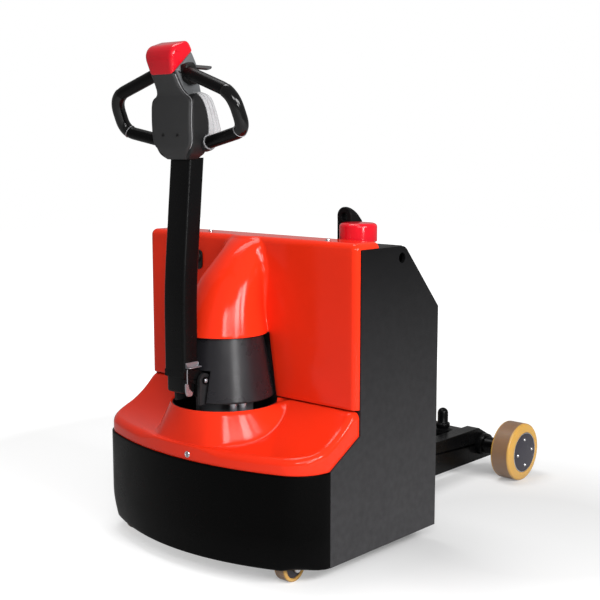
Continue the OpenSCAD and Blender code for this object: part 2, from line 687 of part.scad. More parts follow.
// Height, width and share of the front's reach
housing_rows = [
  [0, chin_w, 0.72], [chin_h / 2, (chin_w + head_w) / 2, 0.88], [chin_h, 0.95 * head_w, 0.96],
  [chin_h + shoulder_h, head_w, 1], [0.6 * housing_h, head_w, 1.04],
  [housing_h - shoulder_h, head_w, 1.02], [housing_h - shoulder_h / 3, head_w - shoulder_h, 1],
  [housing_h, head_w - 2 * shoulder_h, 0.96]];
module head_housing() color(grey) from_front() at_head() {
  loft([for (row = housing_rows)
    rounded_ring(row[1], -housing_front * row[2], split(row[0]), housing_edge_r, row[0])]);
  both_sides() bar(grip_path[3] + seat_gap * grip_out, grip_path[3] + socket_l * grip_out, socket_r);
}
back_inset = 12;
back_w = head_w - 2 * back_inset;
back_reach = 60;
back_edge_r = 6;
// Shares of the height, width and reach
back_rows = [[0.26, 0.80, 0.67], [0.34, 0.95, 0.92], [0.44, 1, 1], [0.67, 1, 0.88],
             [0.88, 0.96, 0.71], [0.96, 0.85, 0.6], [1, 0.72, 0.52]];
module head_rear_cover() color(grey) from_front() at_head()
  loft([for (row = back_rows) let (z = row[0] * housing_h)
    rounded_ring(back_w * row[1], split(z) + seat_gap, back_reach * row[2], back_edge_r, z)]);

// Neck that carries the belly button and the handles' upper sockets
neck_w = button_w - 4;
neck_front = [-72, 188];
neck_ridge = [-18, 238];
neck_back = [14, 210];
neck_edge = 5;
module head_neck() color(grey) from_front() at_head() {
  soft_slab(neck_w, neck_edge)
    polygon([[neck_edge - housing_front, housing_h], neck_front, neck_ridge, neck_back,
             [split(housing_h), housing_h]]);
  both_sides() bar(grip_path[0] - socket_l * grip_in, grip_path[0] - seat_gap * grip_in, socket_r);
}
button_lip = [-button_reach, 226];
button_top = [-27, 255];
button_round = 9;
module belly_button() color("crimson") from_front() at_head() soft_slab(button_w, neck_edge)
  offset(r = button_round) offset(delta = -button_round)
    polygon([neck_front - [seat_gap, 0], button_lip, button_lip + [10, 16], button_top,
             neck_ridge - [seat_gap, 0]]);
lever_l = 24;
lever_w = 14;
lever_t = 5;
lever_z = 190;
module thumb_lever() color(grey) from_front() at_head() both_sides()
  translate([neck_w / 2, 0, lever_z]) linear_extrude(lever_t) {
    translate([0, -lever_w / 2]) square([lever_l, lever_w]);
    translate([lever_l, 0]) circle(lever_w / 2);
  }

base_plate();
battery_floor();
side_plate(-1);  // side_plate_left
side_plate(1);  // side_plate_right
front_apron();
lower_cover();
upper_cover();
rear_panel();
battery();
slewing_ring();
castor_mounts();
tow_arm(-1);  // tow_arm_left
tow_arm(1);  // tow_arm_right
rear_axle();
hitch_plate();
tow_pin();
stop_knob();
lifting_eye();
key_switch();
steering_cone();
steering_head();
drive_motor();
drive_leg();
tilt_pin();
drive_tyre();
drive_hub();
tiller_foot();
tiller_tube();
head_housing();
head_rear_cover();
head_neck();
belly_button();
handle(-1);  // handle_left
handle(1);  // handle_right
thumb_lever();
castor_fork(-1);  // castor_fork_left
castor_fork(1);  // castor_fork_right
castor_tyre(-1);  // castor_tyre_left
castor_tyre(1);  // castor_tyre_right
castor_hub(-1);  // castor_hub_left
castor_hub(1);  // castor_hub_right
rear_tyre(-1);  // rear_tyre_left
rear_tyre(1);  // rear_tyre_right
rear_hub(-1);  // rear_hub_left
rear_hub(1);  // rear_hub_right
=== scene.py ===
import json
import math

import bmesh
import bpy
import numpy as np
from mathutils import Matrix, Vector


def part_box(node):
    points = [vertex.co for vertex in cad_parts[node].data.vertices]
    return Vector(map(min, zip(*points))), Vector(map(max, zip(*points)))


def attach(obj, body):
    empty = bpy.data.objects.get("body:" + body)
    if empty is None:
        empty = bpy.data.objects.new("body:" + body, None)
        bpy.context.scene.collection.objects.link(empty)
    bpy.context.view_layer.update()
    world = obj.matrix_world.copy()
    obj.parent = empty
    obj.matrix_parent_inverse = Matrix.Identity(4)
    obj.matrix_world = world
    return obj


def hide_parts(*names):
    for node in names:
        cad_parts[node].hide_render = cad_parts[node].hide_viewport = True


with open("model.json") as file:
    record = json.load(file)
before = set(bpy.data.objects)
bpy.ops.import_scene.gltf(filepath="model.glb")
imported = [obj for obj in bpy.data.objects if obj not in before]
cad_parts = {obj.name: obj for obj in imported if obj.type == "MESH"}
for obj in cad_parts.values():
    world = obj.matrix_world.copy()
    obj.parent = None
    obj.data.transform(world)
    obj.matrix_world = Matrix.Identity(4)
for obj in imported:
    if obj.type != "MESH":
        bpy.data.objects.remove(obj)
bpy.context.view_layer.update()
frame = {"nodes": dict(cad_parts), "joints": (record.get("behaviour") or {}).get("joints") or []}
print("frame loaded:", len(frame["nodes"]), "CAD nodes")

# Lengths are in millimetres, and y counts from the apron's foremost line.
mm = 0.001
apronFront = np.array([0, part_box("front_apron")[0].y / mm, 0])


def toRow(points):
    return (np.asarray(points, float) + apronFront) * mm


def cadBox(node):  # lowest and highest corner of a CAD node
    return [np.array(corner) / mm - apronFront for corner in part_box(node)]


steering = next(joint for joint in frame["joints"] if joint["name"] == "steering")
steerAxis = (np.array(steering["pos_m"]) / mm - apronFront)[:2]


def cosd(a):
    return np.cos(np.radians(a))


def sind(a):
    return np.sin(np.radians(a))


def unit(v):
    return v / np.linalg.norm(v, axis=-1, keepdims=True)


def stack(x, y, z):  # coordinates of any matching shapes as points
    return np.stack(np.broadcast_arrays(x, y, z), -1).astype(float)


def smoothTable(t, table, column):
    # cubic curve through a column of the table, each slope taken from its neighbours
    ts, vs = np.array(table, float)[:, [0, column]].T
    slope = np.gradient(vs, ts)
    i = np.clip(np.searchsorted(ts, t) - 1, 0, len(ts) - 2)
    h = ts[i + 1] - ts[i]
    u = np.clip((t - ts[i]) / h, 0, 1)
    return ((1 + 2 * u) * (1 - u) ** 2 * vs[i] + u * (1 - u) ** 2 * h * slope[i]
            + u * u * (3 - 2 * u) * vs[i + 1] + u * u * (u - 1) * h * slope[i + 1])


# Materials

def feed(tree, node, values):  # links outputs to a node's inputs, or sets numbers, vectors and colours
    for name, value in values.items():
        socket = node.inputs[name]
        if isinstance(value, bpy.types.NodeSocket):
            tree.links.new(value, socket)
        else:
            socket.default_value = (*value, 1) if socket.type == "RGBA" else value


def objectPlace(tree):
    return tree.nodes.new("ShaderNodeTexCoord").outputs["Object"]


def noise(tree, scale, detail, source):
    node = tree.nodes.new("ShaderNodeTexNoise")
    feed(tree, node, {"Vector": source, "Scale": scale, "Detail": detail})
    return node.outputs["Fac"]


def mapRange(tree, value, low, high, toLow, toHigh):
    node = tree.nodes.new("ShaderNodeMapRange")
    feed(tree, node, {"Value": value, "From Min": low, "From Max": high, "To Min": toLow, "To Max": toHigh})
    return node.outputs["Result"]


def mathNode(tree, operation, a, b):
    node = tree.nodes.new("ShaderNodeMath")
    node.operation = operation
    feed(tree, node, {0: a, 1: b})
    return node.outputs[0]


def mixColour(tree, kind, factor, a, b):
    node = tree.nodes.new("ShaderNodeMix")
    node.data_type, node.blend_type = "RGBA", kind
    order = [socket.identifier for socket in node.inputs]
    feed(tree, node, {order.index(n): v for n, v in (("Factor_Float", factor), ("A_Color", a), ("B_Color", b))})
    return next(socket for socket in node.outputs if socket.identifier == "Result_Color")


def newGroup(name, inputs, outputs):
    tree = bpy.data.node_groups.new(name, "ShaderNodeTree")
    for socket, value in inputs.items():
        tree.interface.new_socket(socket, in_out="INPUT", socket_type="NodeSocketFloat").default_value = value
    for socket in outputs:
        tree.interface.new_socket(socket, in_out="OUTPUT", socket_type="NodeSocketFloat")
    return tree, tree.nodes.new("NodeGroupInput").outputs, tree.nodes.new("NodeGroupOutput")


def placeGroup(tree, group, values):
    node = tree.nodes.new("ShaderNodeGroup")
    node.node_tree = group
    feed(tree, node, values)
    return node.outputs


# Skin of a moulded or coated surface: fine height for a bump, and a tone that drifts over it
skin, skinIn, skinOut = newGroup("surface skin", {"Grain per metre": 900, "Drift": 0.05}, ["Height", "Tone"])
skinPlace = objectPlace(skin)
grain = noise(skin, skinIn["Grain per metre"], 3, skinPlace)
drift = mapRange(skin, noise(skin, 5.5, 4, skinPlace), 0.3, 0.7, -1, 1)
tone = mathNode(skin, "ADD", mathNode(skin, "MULTIPLY", drift, skinIn["Drift"]), 1)
feed(skin, skinOut, {"Height": grain, "Tone": tone})

# Handling: roughness that varies in soft patches
wipe, wipeIn, wipeOut = newGroup("handling marks", {"Roughness": 0.3, "Spread": 0.05}, ["Roughness"])
patches = mapRange(wipe, noise(wipe, 14, 5, objectPlace(wipe)), 0.35, 0.65, -1, 1)
varied = mathNode(wipe, "MULTIPLY", patches, wipeIn["Spread"])
feed(wipe, wipeOut, {"Roughness": mathNode(wipe, "ADD", varied, wipeIn["Roughness"])})

# Floor dust and painted floor reflection: a mask that fades out with height above the floor, broken up by noise. Low
# down it is dust; where it reaches far up a part it is a painted reflection of the floor.
dustAndReflection, dustAndReflectionIn, dustAndReflectionOut = newGroup("floor dust and painted floor reflection", {"Reach": 0.12, "Amount": 0.3}, ["Mask"])
dustAndReflectionPlace = objectPlace(dustAndReflection)
height = dustAndReflection.nodes.new("ShaderNodeSeparateXYZ")
feed(dustAndReflection, height, {"Vector": dustAndReflectionPlace})
fade = mapRange(dustAndReflection, height.outputs["Z"], 0, dustAndReflectionIn["Reach"], 1, 0)
cloud = mapRange(dustAndReflection, noise(dustAndReflection, 60, 6, dustAndReflectionPlace), 0.3, 0.7, 0.75, 1)
feed(dustAndReflection, dustAndReflectionOut, {"Mask": mathNode(dustAndReflection, "MULTIPLY", mathNode(dustAndReflection, "MULTIPLY", fade, cloud), dustAndReflectionIn["Amount"])})


def newMaterial(name):
    mat = bpy.data.materials.new(name)
    mat.use_nodes = True
    return mat, mat.node_tree, mat.node_tree.nodes["Principled BSDF"]


reliefDepth = 0.0006  # metres
# grey that the fading mask mixes in: dust near the floor, and a painted floor reflection where the mask reaches high
dustAndReflectionGrey, dustBrown = (0.21, 0.205, 0.215), (0.3, 0.27, 0.23)


def startFinish(name, rough, spread, grain, bump, drift):
    # what all finishes share: uneven roughness, fine relief and a drifting tone
    mat, tree, shader = newMaterial(name)
    marks = placeGroup(tree, skin, {"Grain per metre": grain, "Drift": drift})
    relief = tree.nodes.new("ShaderNodeBump")
    feed(tree, relief, {"Strength": bump, "Distance": reliefDepth, "Height": marks["Height"]})
    feed(tree, shader, {"Roughness": placeGroup(tree, wipe, {"Roughness": rough, "Spread": spread})["Roughness"],
                        "Normal": relief.outputs["Normal"]})
    return mat, tree, shader, marks["Tone"]


def makeFinish(name, colour, rough, spread, grain, bump, drift=0.05, metal=0.0, dustAndReflectionAmount=0.0, dustAndReflectionReach=0.12,
               sheen=0.5):
    mat, tree, shader, tone = startFinish(name, rough, spread, grain, bump, drift)
    tinted = mixColour(tree, "MULTIPLY", 1.0, colour, tone)
    # the fading grey: dust near the floor; with a long reach, as on the plates, a painted floor reflection
    if dustAndReflectionAmount:
        mask = placeGroup(tree, dustAndReflection, {"Amount": dustAndReflectionAmount, "Reach": dustAndReflectionReach})["Mask"]
        tinted = mixColour(tree, "MIX", mask, tinted, dustAndReflectionGrey)
    feed(tree, shader, {"Base Color": tinted, "Metallic": metal, "Specular IOR Level": sheen})
    return mat


# name: colour, roughness and its spread, grain per metre, depth of the grain, drift of the tone
finishes = {
    "redCover": makeFinish("gloss red moulding", (0.8, 0.029, 0.0075), 0.12, 0.02, 420, 0.03, 0.03, sheen=0.17),
    "apronBlack": makeFinish("black apron coat", (0.0012, 0.0012, 0.0012), 0.3, 0.04, 1500, 0.12, 0.1,
                             dustAndReflectionAmount=0.015, sheen=0.035),
    # the plates grow lighter grey from the floor up to 0.75 m: a painted reflection of the floor, with a little dust
    # near it
    "blackSteel": makeFinish("black powder coat", (0.003, 0.003, 0.0033), 0.42, 0.05, 1500, 0.16, 0.1,
                             dustAndReflectionAmount=0.2, dustAndReflectionReach=0.75, sheen=0.12),
    "tubeBlack": makeFinish("black tube lacquer", (0.003, 0.003, 0.0032), 0.26, 0.04, 1300, 0.08, 0.08, sheen=0.1),
    "batteryCase": makeFinish("battery case plastic", (0.05, 0.05, 0.056), 0.55, 0.05, 1800, 0.2),
    "bareSteel": makeFinish("zinc plated steel", (0.62, 0.62, 0.64), 0.28, 0.08, 2200, 0.1, 0.08, metal=1.0),
    "redButton": makeFinish("gloss red button", (0.62, 0.006, 0.016), 0.14, 0.03, 500, 0.03, 0.03, sheen=0.3),
    "blackPlastic": makeFinish("black moulded plastic", (0.008, 0.008, 0.008), 0.42, 0.05, 2600, 0.2, sheen=0.2),
    "darkCasing": makeFinish("dark grained casing", (0.038, 0.038, 0.039), 0.45, 0.05, 3200, 0.22, 0.06, sheen=0.15),
    # a darker copy of the shield's casing, as painted shade on the head's sides, which the lamps light more; the grip
    # bushes share it
    "shadedSideCasing": makeFinish("casing sides with painted shade", (0.017, 0.017, 0.0175), 0.36, 0.05, 3000, 0.16, 0.06, sheen=0.14),
    # a mid grey darker than the pale casing that the neck belongs to: painted shade
    "neckShadeGrey": makeFinish("neck moulding in painted shade grey", (0.11, 0.115, 0.12), 0.34, 0.05, 2400, 0.12, 0.06, sheen=0.4),
    "paleZinc": makeFinish("pale zinc fittings", (0.27, 0.27, 0.29), 0.3, 0.08, 1800, 0.1, 0.08, metal=0.7),
    # pale grey of the grip rings, and of the bead that paints the highlight on the casing's joint
    "paleTrimAndHighlight": makeFinish("pale trim and painted seam highlight", (0.3, 0.3, 0.31), 0.25, 0.05, 1200, 0.05, 0.05, sheen=0.5),
    "coneGrey": makeFinish("cone satin plastic", (0.013, 0.0123, 0.0145), 0.29, 0.04, 2800, 0.1, 0.05, sheen=0.34),
    "paleCasing": makeFinish("pale gloss casing", (0.5, 0.5, 0.51), 0.2, 0.04, 900, 0.04, 0.04, sheen=0.5),
    "castGrey": makeFinish("painted casting", (0.1, 0.1, 0.108), 0.6, 0.06, 700, 0.6, 0.12, dustAndReflectionAmount=0.2),
    "hubGrey": makeFinish("blue grey hub paint", (0.028, 0.026, 0.036), 0.4, 0.06, 1600, 0.15, 0.12, dustAndReflectionAmount=0.1,
                          sheen=0.3),
    "gripBlack": makeFinish("black grip rubber", (0.003, 0.003, 0.0031), 0.3, 0.06, 2600, 0.16, 0.08, sheen=0.08),
    "gripGloss": makeFinish("gloss grip sleeve", (0.003, 0.003, 0.0032), 0.12, 0.03, 900, 0.03, 0.05, sheen=0.3),
    "leverGrey": makeFinish("lever plastic", (0.03, 0.03, 0.032), 0.35, 0.05, 2400, 0.15, sheen=0.3),
}

tread = dict(skin=(0.36, 0.06, 700, 0.1, 0.08), flank=(0.62, 0.34, 0.06), running=(0.22, 0.125, 0.07), dustAndReflection=0.18,
             glow=0.15, glowReach=(0.01, 0.004, 0.001))


def makeTread(name):
    # cast polyurethane: amber flanks, a browner running face, both with flow marks and a little dust
    mat, tree, shader, tone = startFinish(name, *tread["skin"])
    running = tree.nodes.new("ShaderNodeAttribute")
    running.attribute_name = "running"
    base = mixColour(tree, "MIX", running.outputs["Fac"], tread["flank"], tread["running"])
    base = mixColour(tree, "MULTIPLY", 1.0, base, tone)
    base = mixColour(tree, "MIX", placeGroup(tree, dustAndReflection, {"Amount": tread["dustAndReflection"]})["Mask"], base, dustBrown)
    feed(tree, shader, {"Base Color": base, "Subsurface Weight": tread["glow"],
                        "Subsurface Radius": tread["glowReach"]})
    return mat


finishes["amberTread"] = makeTread("cast amber tread")
print("finishes made:", len(finishes))


# Meshes

mergeWithin = 0.004  # points as near as this become one


def gridQuads(rows, columns):  # corners of each cell of a grid of points, as their numbers
    index = np.arange(rows * columns).reshape(rows, columns)
    return np.stack([index[:-1, :-1], index[1:, :-1], index[1:, 1:], index[:-1, 1:]], -1).reshape(-1, 4)


def addObject(name, data):
    obj = bpy.data.objects.new(name, data)
    bpy.context.scene.collection.objects.link(obj)
    return obj


def makePiece(name, grids, finish, body, replaces=(), inside=None, sharp=38, marks=None):
    # each grid is rows x columns of points; neighbours make quads, and equal points are merged
    points, quads, start = [], [], 0
    for grid in grids:
        quads.append(gridQuads(*grid.shape[:2]) + start)
        points.append(grid.reshape(-1, 3))
        start += len(points[-1])
    mesh = bpy.data.meshes.new(name)
    mesh.from_pydata(toRow(np.concatenate(points)).tolist(), [], np.concatenate(quads).tolist())
    if marks is not None:
        mesh.attributes.new("running", "FLOAT", "POINT").data.foreach_set("value", np.ravel(marks).astype(np.float32))
    shape = bmesh.new()
    shape.from_mesh(mesh)
    bmesh.ops.remove_doubles(shape, verts=shape.verts, dist=mergeWithin * mm)
    bmesh.ops.recalc_face_normals(shape, faces=shape.faces)
    shape.to_mesh(mesh)
    shape.free()
    if inside is not None:  # an open sheet is turned so that it faces away from a point inside
        flat = np.zeros((2, len(mesh.polygons) * 3))
        mesh.polygons.foreach_get("center", flat[0])
        mesh.polygons.foreach_get("normal", flat[1])
        centres, normals = flat.reshape(2, -1, 3)
        if ((centres - toRow(inside)) * normals).sum() < 0:
            mesh.flip_normals()
    mesh.shade_smooth()
    mesh.set_sharp_from_angle(angle=math.radians(sharp))
    mesh.materials.append(finishes[finish])
    piece = addObject(name, mesh)
    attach(piece, body)
    if replaces:
        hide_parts(*replaces)
    return piece


def addWall(piece, thickness, edge=0.0):  # turns a sheet into a wall behind its outer face
    wall = piece.modifiers.new("wall", "SOLIDIFY")
    wall.thickness, wall.offset = thickness * mm, -1
    if edge:
        roundEdges(piece, edge, 2, 60)


def roundEdges(piece, width, segments=3, angle=35):
    rounding = piece.modifiers.new("rounded edges", "BEVEL")
    rounding.width, rounding.segments = width * mm, segments
    rounding.limit_method, rounding.angle_limit = "ANGLE", math.radians(angle)
    rounding.use_clamp_overlap = True


def closeRings(rings):
    # rings of points with their first point repeated, and both ends drawn together to a point
    tips = [np.broadcast_to(ring.mean(0), (1, len(ring) + 1, 3)) for ring in (rings[0], rings[-1])]
    return np.concatenate([tips[0], np.concatenate([rings, rings[:, :1]], 1), tips[1]])


def turned(profile, centre, axis, steps=72):
    # radius and distance pairs carried round an axis through the centre
    profile = np.array(profile, float)
    axis = unit(np.array(axis, float))
    side = unit(np.cross(axis, (0.31, 0.52, 0.8)))
    a = np.linspace(0, 2 * np.pi, steps + 1)[None, :, None]
    around = side * np.cos(a) + np.cross(axis, side) * np.sin(a)
    return np.array(centre, float) + profile[:, 1, None, None] * axis + profile[:, 0, None, None] * around


def swept(path, radius, steps=28):
    # circles of the given radii across a path of points
    along = unit(np.gradient(path, axis=0))
    side = unit(np.cross((0, 1, 0), along))
    a = np.linspace(0, 2 * np.pi, steps, endpoint=False)[None, :, None]
    around = side[:, None] * np.cos(a) + np.cross(along, side)[:, None] * np.sin(a)
    return closeRings(path[:, None] + np.broadcast_to(radius, len(path))[:, None, None] * around)


def bentLine(points, cuts, steps=12):
    # straight runs whose corners are quadratic curves that begin the cut's length before the corner
    points = np.array(points, float)
    t = np.linspace(0, 1, steps)[:, None]
    runs = [points[:1]]
    for before, corner, after, cut in zip(points, points[1:], points[2:], cuts):
        u, v = cut * unit(before - corner), cut * unit(after - corner)
        runs.append(corner + u * (1 - t) ** 2 + v * t ** 2)
    return np.concatenate(runs + [points[-1:]])


def roundedLoop(points, cuts, steps=7):  # the same for a closed outline
    points = np.array(points, float)
    cuts = np.broadcast_to(cuts, len(points))[:, None, None]
    t = np.linspace(0, 1, steps)[None, :, None]
    u, v = unit(np.roll(points, 1, 0) - points), unit(np.roll(points, -1, 0) - points)
    return (points[:, None] + cuts * (u[:, None] * (1 - t) ** 2 + v[:, None] * t ** 2)).reshape(-1, points.shape[1])


def roundedRings(width, front, back, edge, z, fan=7):
    # rounded rectangles, one a row: four quarter arcs about the corners' centres
    width, front, back, edge, z = [np.atleast_1d(np.asarray(v, float))[:, None] for v in (width, front, back, edge, z)]
    a = np.concatenate([np.linspace(c, c + 90, fan) for c in (-90, 0, 90, 180)])
    sx = np.repeat([1, 1, -1, -1], fan)
    atBack = np.repeat([False, True, True, False], fan)
    x = sx * (width / 2 - edge) + edge * cosd(a)
    y = np.where(atBack, back - edge, front + edge) + edge * sind(a)
    return stack(x, y, z)


def pillow(outline, width, edge, fan=6):
    # an outline in (y, z) carried from side to side: it shrinks along a quarter circle towards each side, and ever
    # smaller copies fill that side, all at the half width that the table gives for their height
    outline = np.array(outline, float)
    inward = unit(outline.mean(0) - outline)
    f = np.linspace(90, 0, fan)[:, None, None]
    rounded = outline + inward * edge * (1 - cosd(f))
    middle = rounded[0].mean(0)
    filled = middle + (rounded[0] - middle) * np.array([0.2, 0.5, 0.8])[:, None, None]
    flat = np.concatenate([filled, rounded])
    depth = np.concatenate([np.zeros((3, 1)), edge * (1 - sind(f[:, 0]))])
    heights, halves = np.array(width, float).T
    right = stack(np.interp(flat[..., 1], heights, halves) - depth, flat[..., 0], flat[..., 1])
    return closeRings(np.concatenate([right * (-1, 1, 1), right[::-1]]))


def bothSides(grid):
    return [grid, grid[::-1] * (-1, 1, 1)]


leftRight = (("left", "Left", -1), ("right", "Right", 1))


# Apron and lower cover

shell = dict(bow=82, corner=104, rimInset=4, wall=4, rimHeight=36, crease=18, seam=384, faceY=238,
             deckRise=3.0, collarMouth=131, collarBase=165, collarTop=375, collarFoot=8, collarBlend=0.1, ledge=9)
seamGap = 0.3
halfWidth = cadBox("side_plate_right")[1][0]
plateFront, apronLow = cadBox("side_plate_right")[0][1:]
apronTop = cadBox("front_apron")[1][2]
upperFront, shoulder = 255, 326  # the side plates' upper front edge and where their slant ends
bowRadius = (halfWidth ** 2 + shell["bow"] ** 2) / (2 * shell["bow"])
cornerX = halfWidth - shell["corner"]
cornerY = bowRadius - math.sqrt((bowRadius - shell["corner"]) ** 2 - cornerX ** 2)
bowAngle = math.degrees(math.atan2(bowRadius - cornerY, cornerX))
facings = np.concatenate([np.linspace(-180, bowAngle - 180, 36), np.linspace(bowAngle - 180, -bowAngle, 44)[1:-1],
                          np.linspace(-bowAngle, 0, 36)])


def outline(facing, inset):
    # plan of the apron: the point of the wide bow, or of a corner arc, that looks in the given direction
    side = np.where(facing <= bowAngle - 180, -1, np.where(facing >= -bowAngle, 1, 0))
    radius = np.where(side == 0, bowRadius, shell["corner"]) - inset
    return side * cornerX + radius * cosd(facing), np.where(side == 0, bowRadius, cornerY) + radius * sind(facing)


apron = dict(wall=6, tuckDepth=24, tuckHeight=80, rows=40)


def makeApron():
    # facing x height; near the floor the corners draw in along a quarter ellipse
    z = np.linspace(apronLow, apronTop, apron["rows"])
    t = np.clip(1 - (z - apronLow) / apron["tuckHeight"], 0, 1)
    a = facings[:, None]
    x, y = outline(a, apron["tuckDepth"] * sind(2 * a) ** 2 * (1 - np.sqrt(1 - t * t)))
    piece = makePiece("frontApron", [stack(x, y, z)], "apronBlack", "chassis", ["front_apron"],
                      inside=(0, 420, 150))
    addWall(piece, apron["wall"], 1.6)


def deckHeight(y):
    rim = apronTop + shell["rimHeight"]
    return rim + (shell["seam"] - rim) * np.clip(y / shell["faceY"], 0, 1) ** shell["deckRise"]


def makeLowerCover():
    # stations round the rim x a section: rim, rounded crease, rising deck, fillet and conical collar
    sideX, endY = halfWidth - shell["rimInset"], upperFront - seamGap
    side = np.linspace(endY, plateFront, 16)[:-1]
    px, py = outline(facings, shell["rimInset"])
    p = np.concatenate([stack(-sideX, side, 0), stack(px, py, 0), stack(sideX, side[::-1], 0)])[:, :2]
    facing = np.concatenate([np.full(len(side), -180.0), facings, np.zeros(len(side))])
    n = np.stack([cosd(facing), sind(facing)], 1)
    out = p - steerAxis
    far = np.linalg.norm(out, axis=1)
    mouthA = np.degrees(np.arcsin((shell["faceY"] - steerAxis[1]) / shell["collarMouth"]))
    endA = np.degrees(np.arctan2(endY - steerAxis[1], sideX))
    a = -90 + (np.degrees(np.arctan2(out[:, 1], abs(out[:, 0]))) + 90) * (mouthA + 90) / (endA + 90)
    m = np.stack([np.sign(p[:, 0]) * cosd(a), sind(a)], 1)
    baseR = np.minimum(shell["collarBase"], far - shell["ledge"])
    room = far - baseR
    crease = np.minimum(shell["crease"], room / 2)
    start = p - n * crease[:, None]
    foot = steerAxis + m * (baseR + np.minimum(shell["collarFoot"], room / 4))[:, None]
    base = steerAxis + m * baseR[:, None]
    mouth = steerAxis + m * shell["collarMouth"]
    baseZ = deckHeight(base[:, 1])
    mouthZ = np.maximum(shell["collarTop"], deckHeight(mouth[:, 1]))
    slant = (shoulder - apronTop) / (upperFront - plateFront)
    low = apronTop + seamGap + np.maximum(0, p[:, 1] - plateFront) * slant
    creaseZ = deckHeight(start[:, 1]) - crease

    def rows(xy, z):
        return np.concatenate([xy, z[..., None]], -1)
    u = np.linspace(0, 1, 6)[:, None]
    rim = rows(np.broadcast_to(p, (6, *p.shape)), low + (creaseZ - low) * u)
    f = np.linspace(0, 90, 10)[1:, None]
    fold = rows(start + n * (crease * cosd(f))[..., None], creaseZ + crease * sind(f))
    u = np.linspace(0, 1, 30)[1:, None, None]
    deck = start + (foot - start) * u
    deck = rows(deck, deckHeight(deck[..., 1]))
    top = rows(mouth, mouthZ)
    knee = rows(base, baseZ)
    climb = knee + (top - knee) * shell["collarBlend"]
    u = np.linspace(0, 1, 9)[1:, None, None]
    fillet = deck[-1] * (1 - u) ** 2 + 2 * u * (1 - u) * knee + climb * u * u
    collar = climb + (top - climb) * np.linspace(0, 1, 8)[1:, None, None]
    piece = makePiece("lowerCover", [np.concatenate([rim, fold, deck, fillet, collar])], "redCover", "chassis",
                      ["lower_cover"], inside=(*steerAxis, 150), sharp=50)
    addWall(piece, shell["wall"], 1.2)


makeApron()
makeLowerCover()
print("apron and lower cover made")

# Upper cover

upper = dict(halfWidth=352, edge=16, low=388, recessLow=107, wall=4, filletLow=2, filletGrow=23, filletPower=1.5, lip=5)
upper["top"] = cadBox("upper_cover")[1][2]
upper["rear"] = cadBox("upper_cover")[1][1]
noseLow = cadBox("steering_cone")[1][2]
noseTop = upper["top"] - 6
# share of the nose's height, share of its way back to the face, radius of its arc
noseTable = [(0, 0, 106), (0.26, 0.11, 92.2), (0.44, 0.22, 83.7), (0.62, 0.365, 75.3), (0.75, 0.53, 66.8),
             (0.89, 0.725, 63.6), (1, 0.92, 90)]
noseFront = steerAxis[1] - noseTable[0][2]


def makeUpperCover():
    # rows of height x a plan line: edge arc, flat face, fillet, nose arc. Over the top each row is the line
    # taken in by the inset of a quarter circle.
    edge, faceY, top = upper["edge"], shell["faceY"], upper["top"]
    phi = np.linspace(0, 90, 12)[1:]
    wallZ = np.linspace(noseLow, top - edge, 40)
    z = np.concatenate([wallZ, top - edge + edge * sind(phi)])[:, None]
    inset = np.concatenate([np.zeros_like(wallZ), edge * (1 - cosd(phi))])[:, None]
    t = np.clip((z - noseLow) / (noseTop - noseLow), 0, 1)
    radius = smoothTable(t, noseTable, 2)
    middle = noseFront + smoothTable(t, noseTable, 1) * (faceY - noseFront) + radius
    fillet = upper["filletLow"] + upper["filletGrow"] * t ** upper["filletPower"]
    filletY = faceY - fillet
    filletX = np.sqrt((radius + fillet) ** 2 - (filletY - middle) ** 2)
    meet = np.degrees(np.arctan2(filletY - middle, filletX))
    u = np.linspace(0, 1, 10)
    b = 90 + (meet + 90) * u
    soft = stack(filletX + (fillet + inset) * cosd(b), filletY + (fillet + inset) * sind(b), z)
    c = meet - (180 + 2 * meet) * np.linspace(0, 1, 72)
    arc = stack((radius - inset) * cosd(c), middle + (radius - inset) * sind(c), z)
    nose = np.concatenate([soft, arc[:, 1:], soft[:, -2::-1] * (-1, 1, 1)], 1)

    lowZ = np.linspace(upper["low"], noseLow, 24)[:-1, None]
    wingZ, wingInset = np.concatenate([lowZ, z]), np.concatenate([np.zeros_like(lowZ), inset])
    share = (lowZ - shell["seam"]) / (noseLow - shell["seam"])
    recess = upper["recessLow"] + (filletX[0, 0] - upper["recessLow"]) * share
    border = np.concatenate([recess, filletX])
    edgeX = upper["halfWidth"] - edge
    across = np.linspace(0, 1, 20)
    flat = stack(border + (edgeX - border) * across, faceY + wingInset, wingZ)
    g = np.linspace(-90, 0, 10)[1:]
    corner = stack(edgeX + (edge - wingInset) * cosd(g), faceY + edge + (edge - wingInset) * sind(g), wingZ)
    wing = np.concatenate([flat, corner], 1)

    # the top runs back and rolls down at its rear end
    lip = upper["lip"]
    q = np.linspace(0, 90, 6)
    run = np.linspace(0, 1, 8)[:-1]
    rearY = np.concatenate([run, np.ones_like(q)])[:, None]
    drop = np.concatenate([np.zeros_like(run), lip * (1 - cosd(q))])[:, None]
    reach = np.concatenate([np.zeros_like(run), lip * sind(q)])[:, None]
    front = wing[-1, :len(across)]
    border = np.concatenate([front[::-1], nose[-1, 1:-1], front * (-1, 1, 1)])
    roof = stack(border[:, 0], border[:, 1] + (upper["rear"] - lip - border[:, 1]) * rearY + reach, top - drop)
    h = np.linspace(90, 5, 10)[None, :]
    flangeY = (faceY + edge) + (upper["rear"] - lip - faceY - edge) * rearY + reach
    shrink = edge - drop
    flange = stack(edgeX + shrink * cosd(h), flangeY, top - edge + shrink * sind(h))
    piece = makePiece("upperCover", [nose, wing, wing * (-1, 1, 1), roof, flange, flange * (-1, 1, 1)], "redCover",
                      "chassis", ["upper_cover"], inside=(0, 330, 560), sharp=50)
    addWall(piece, upper["wall"], 1.0)


makeUpperCover()
print("upper cover made")

# Tiller tube and head

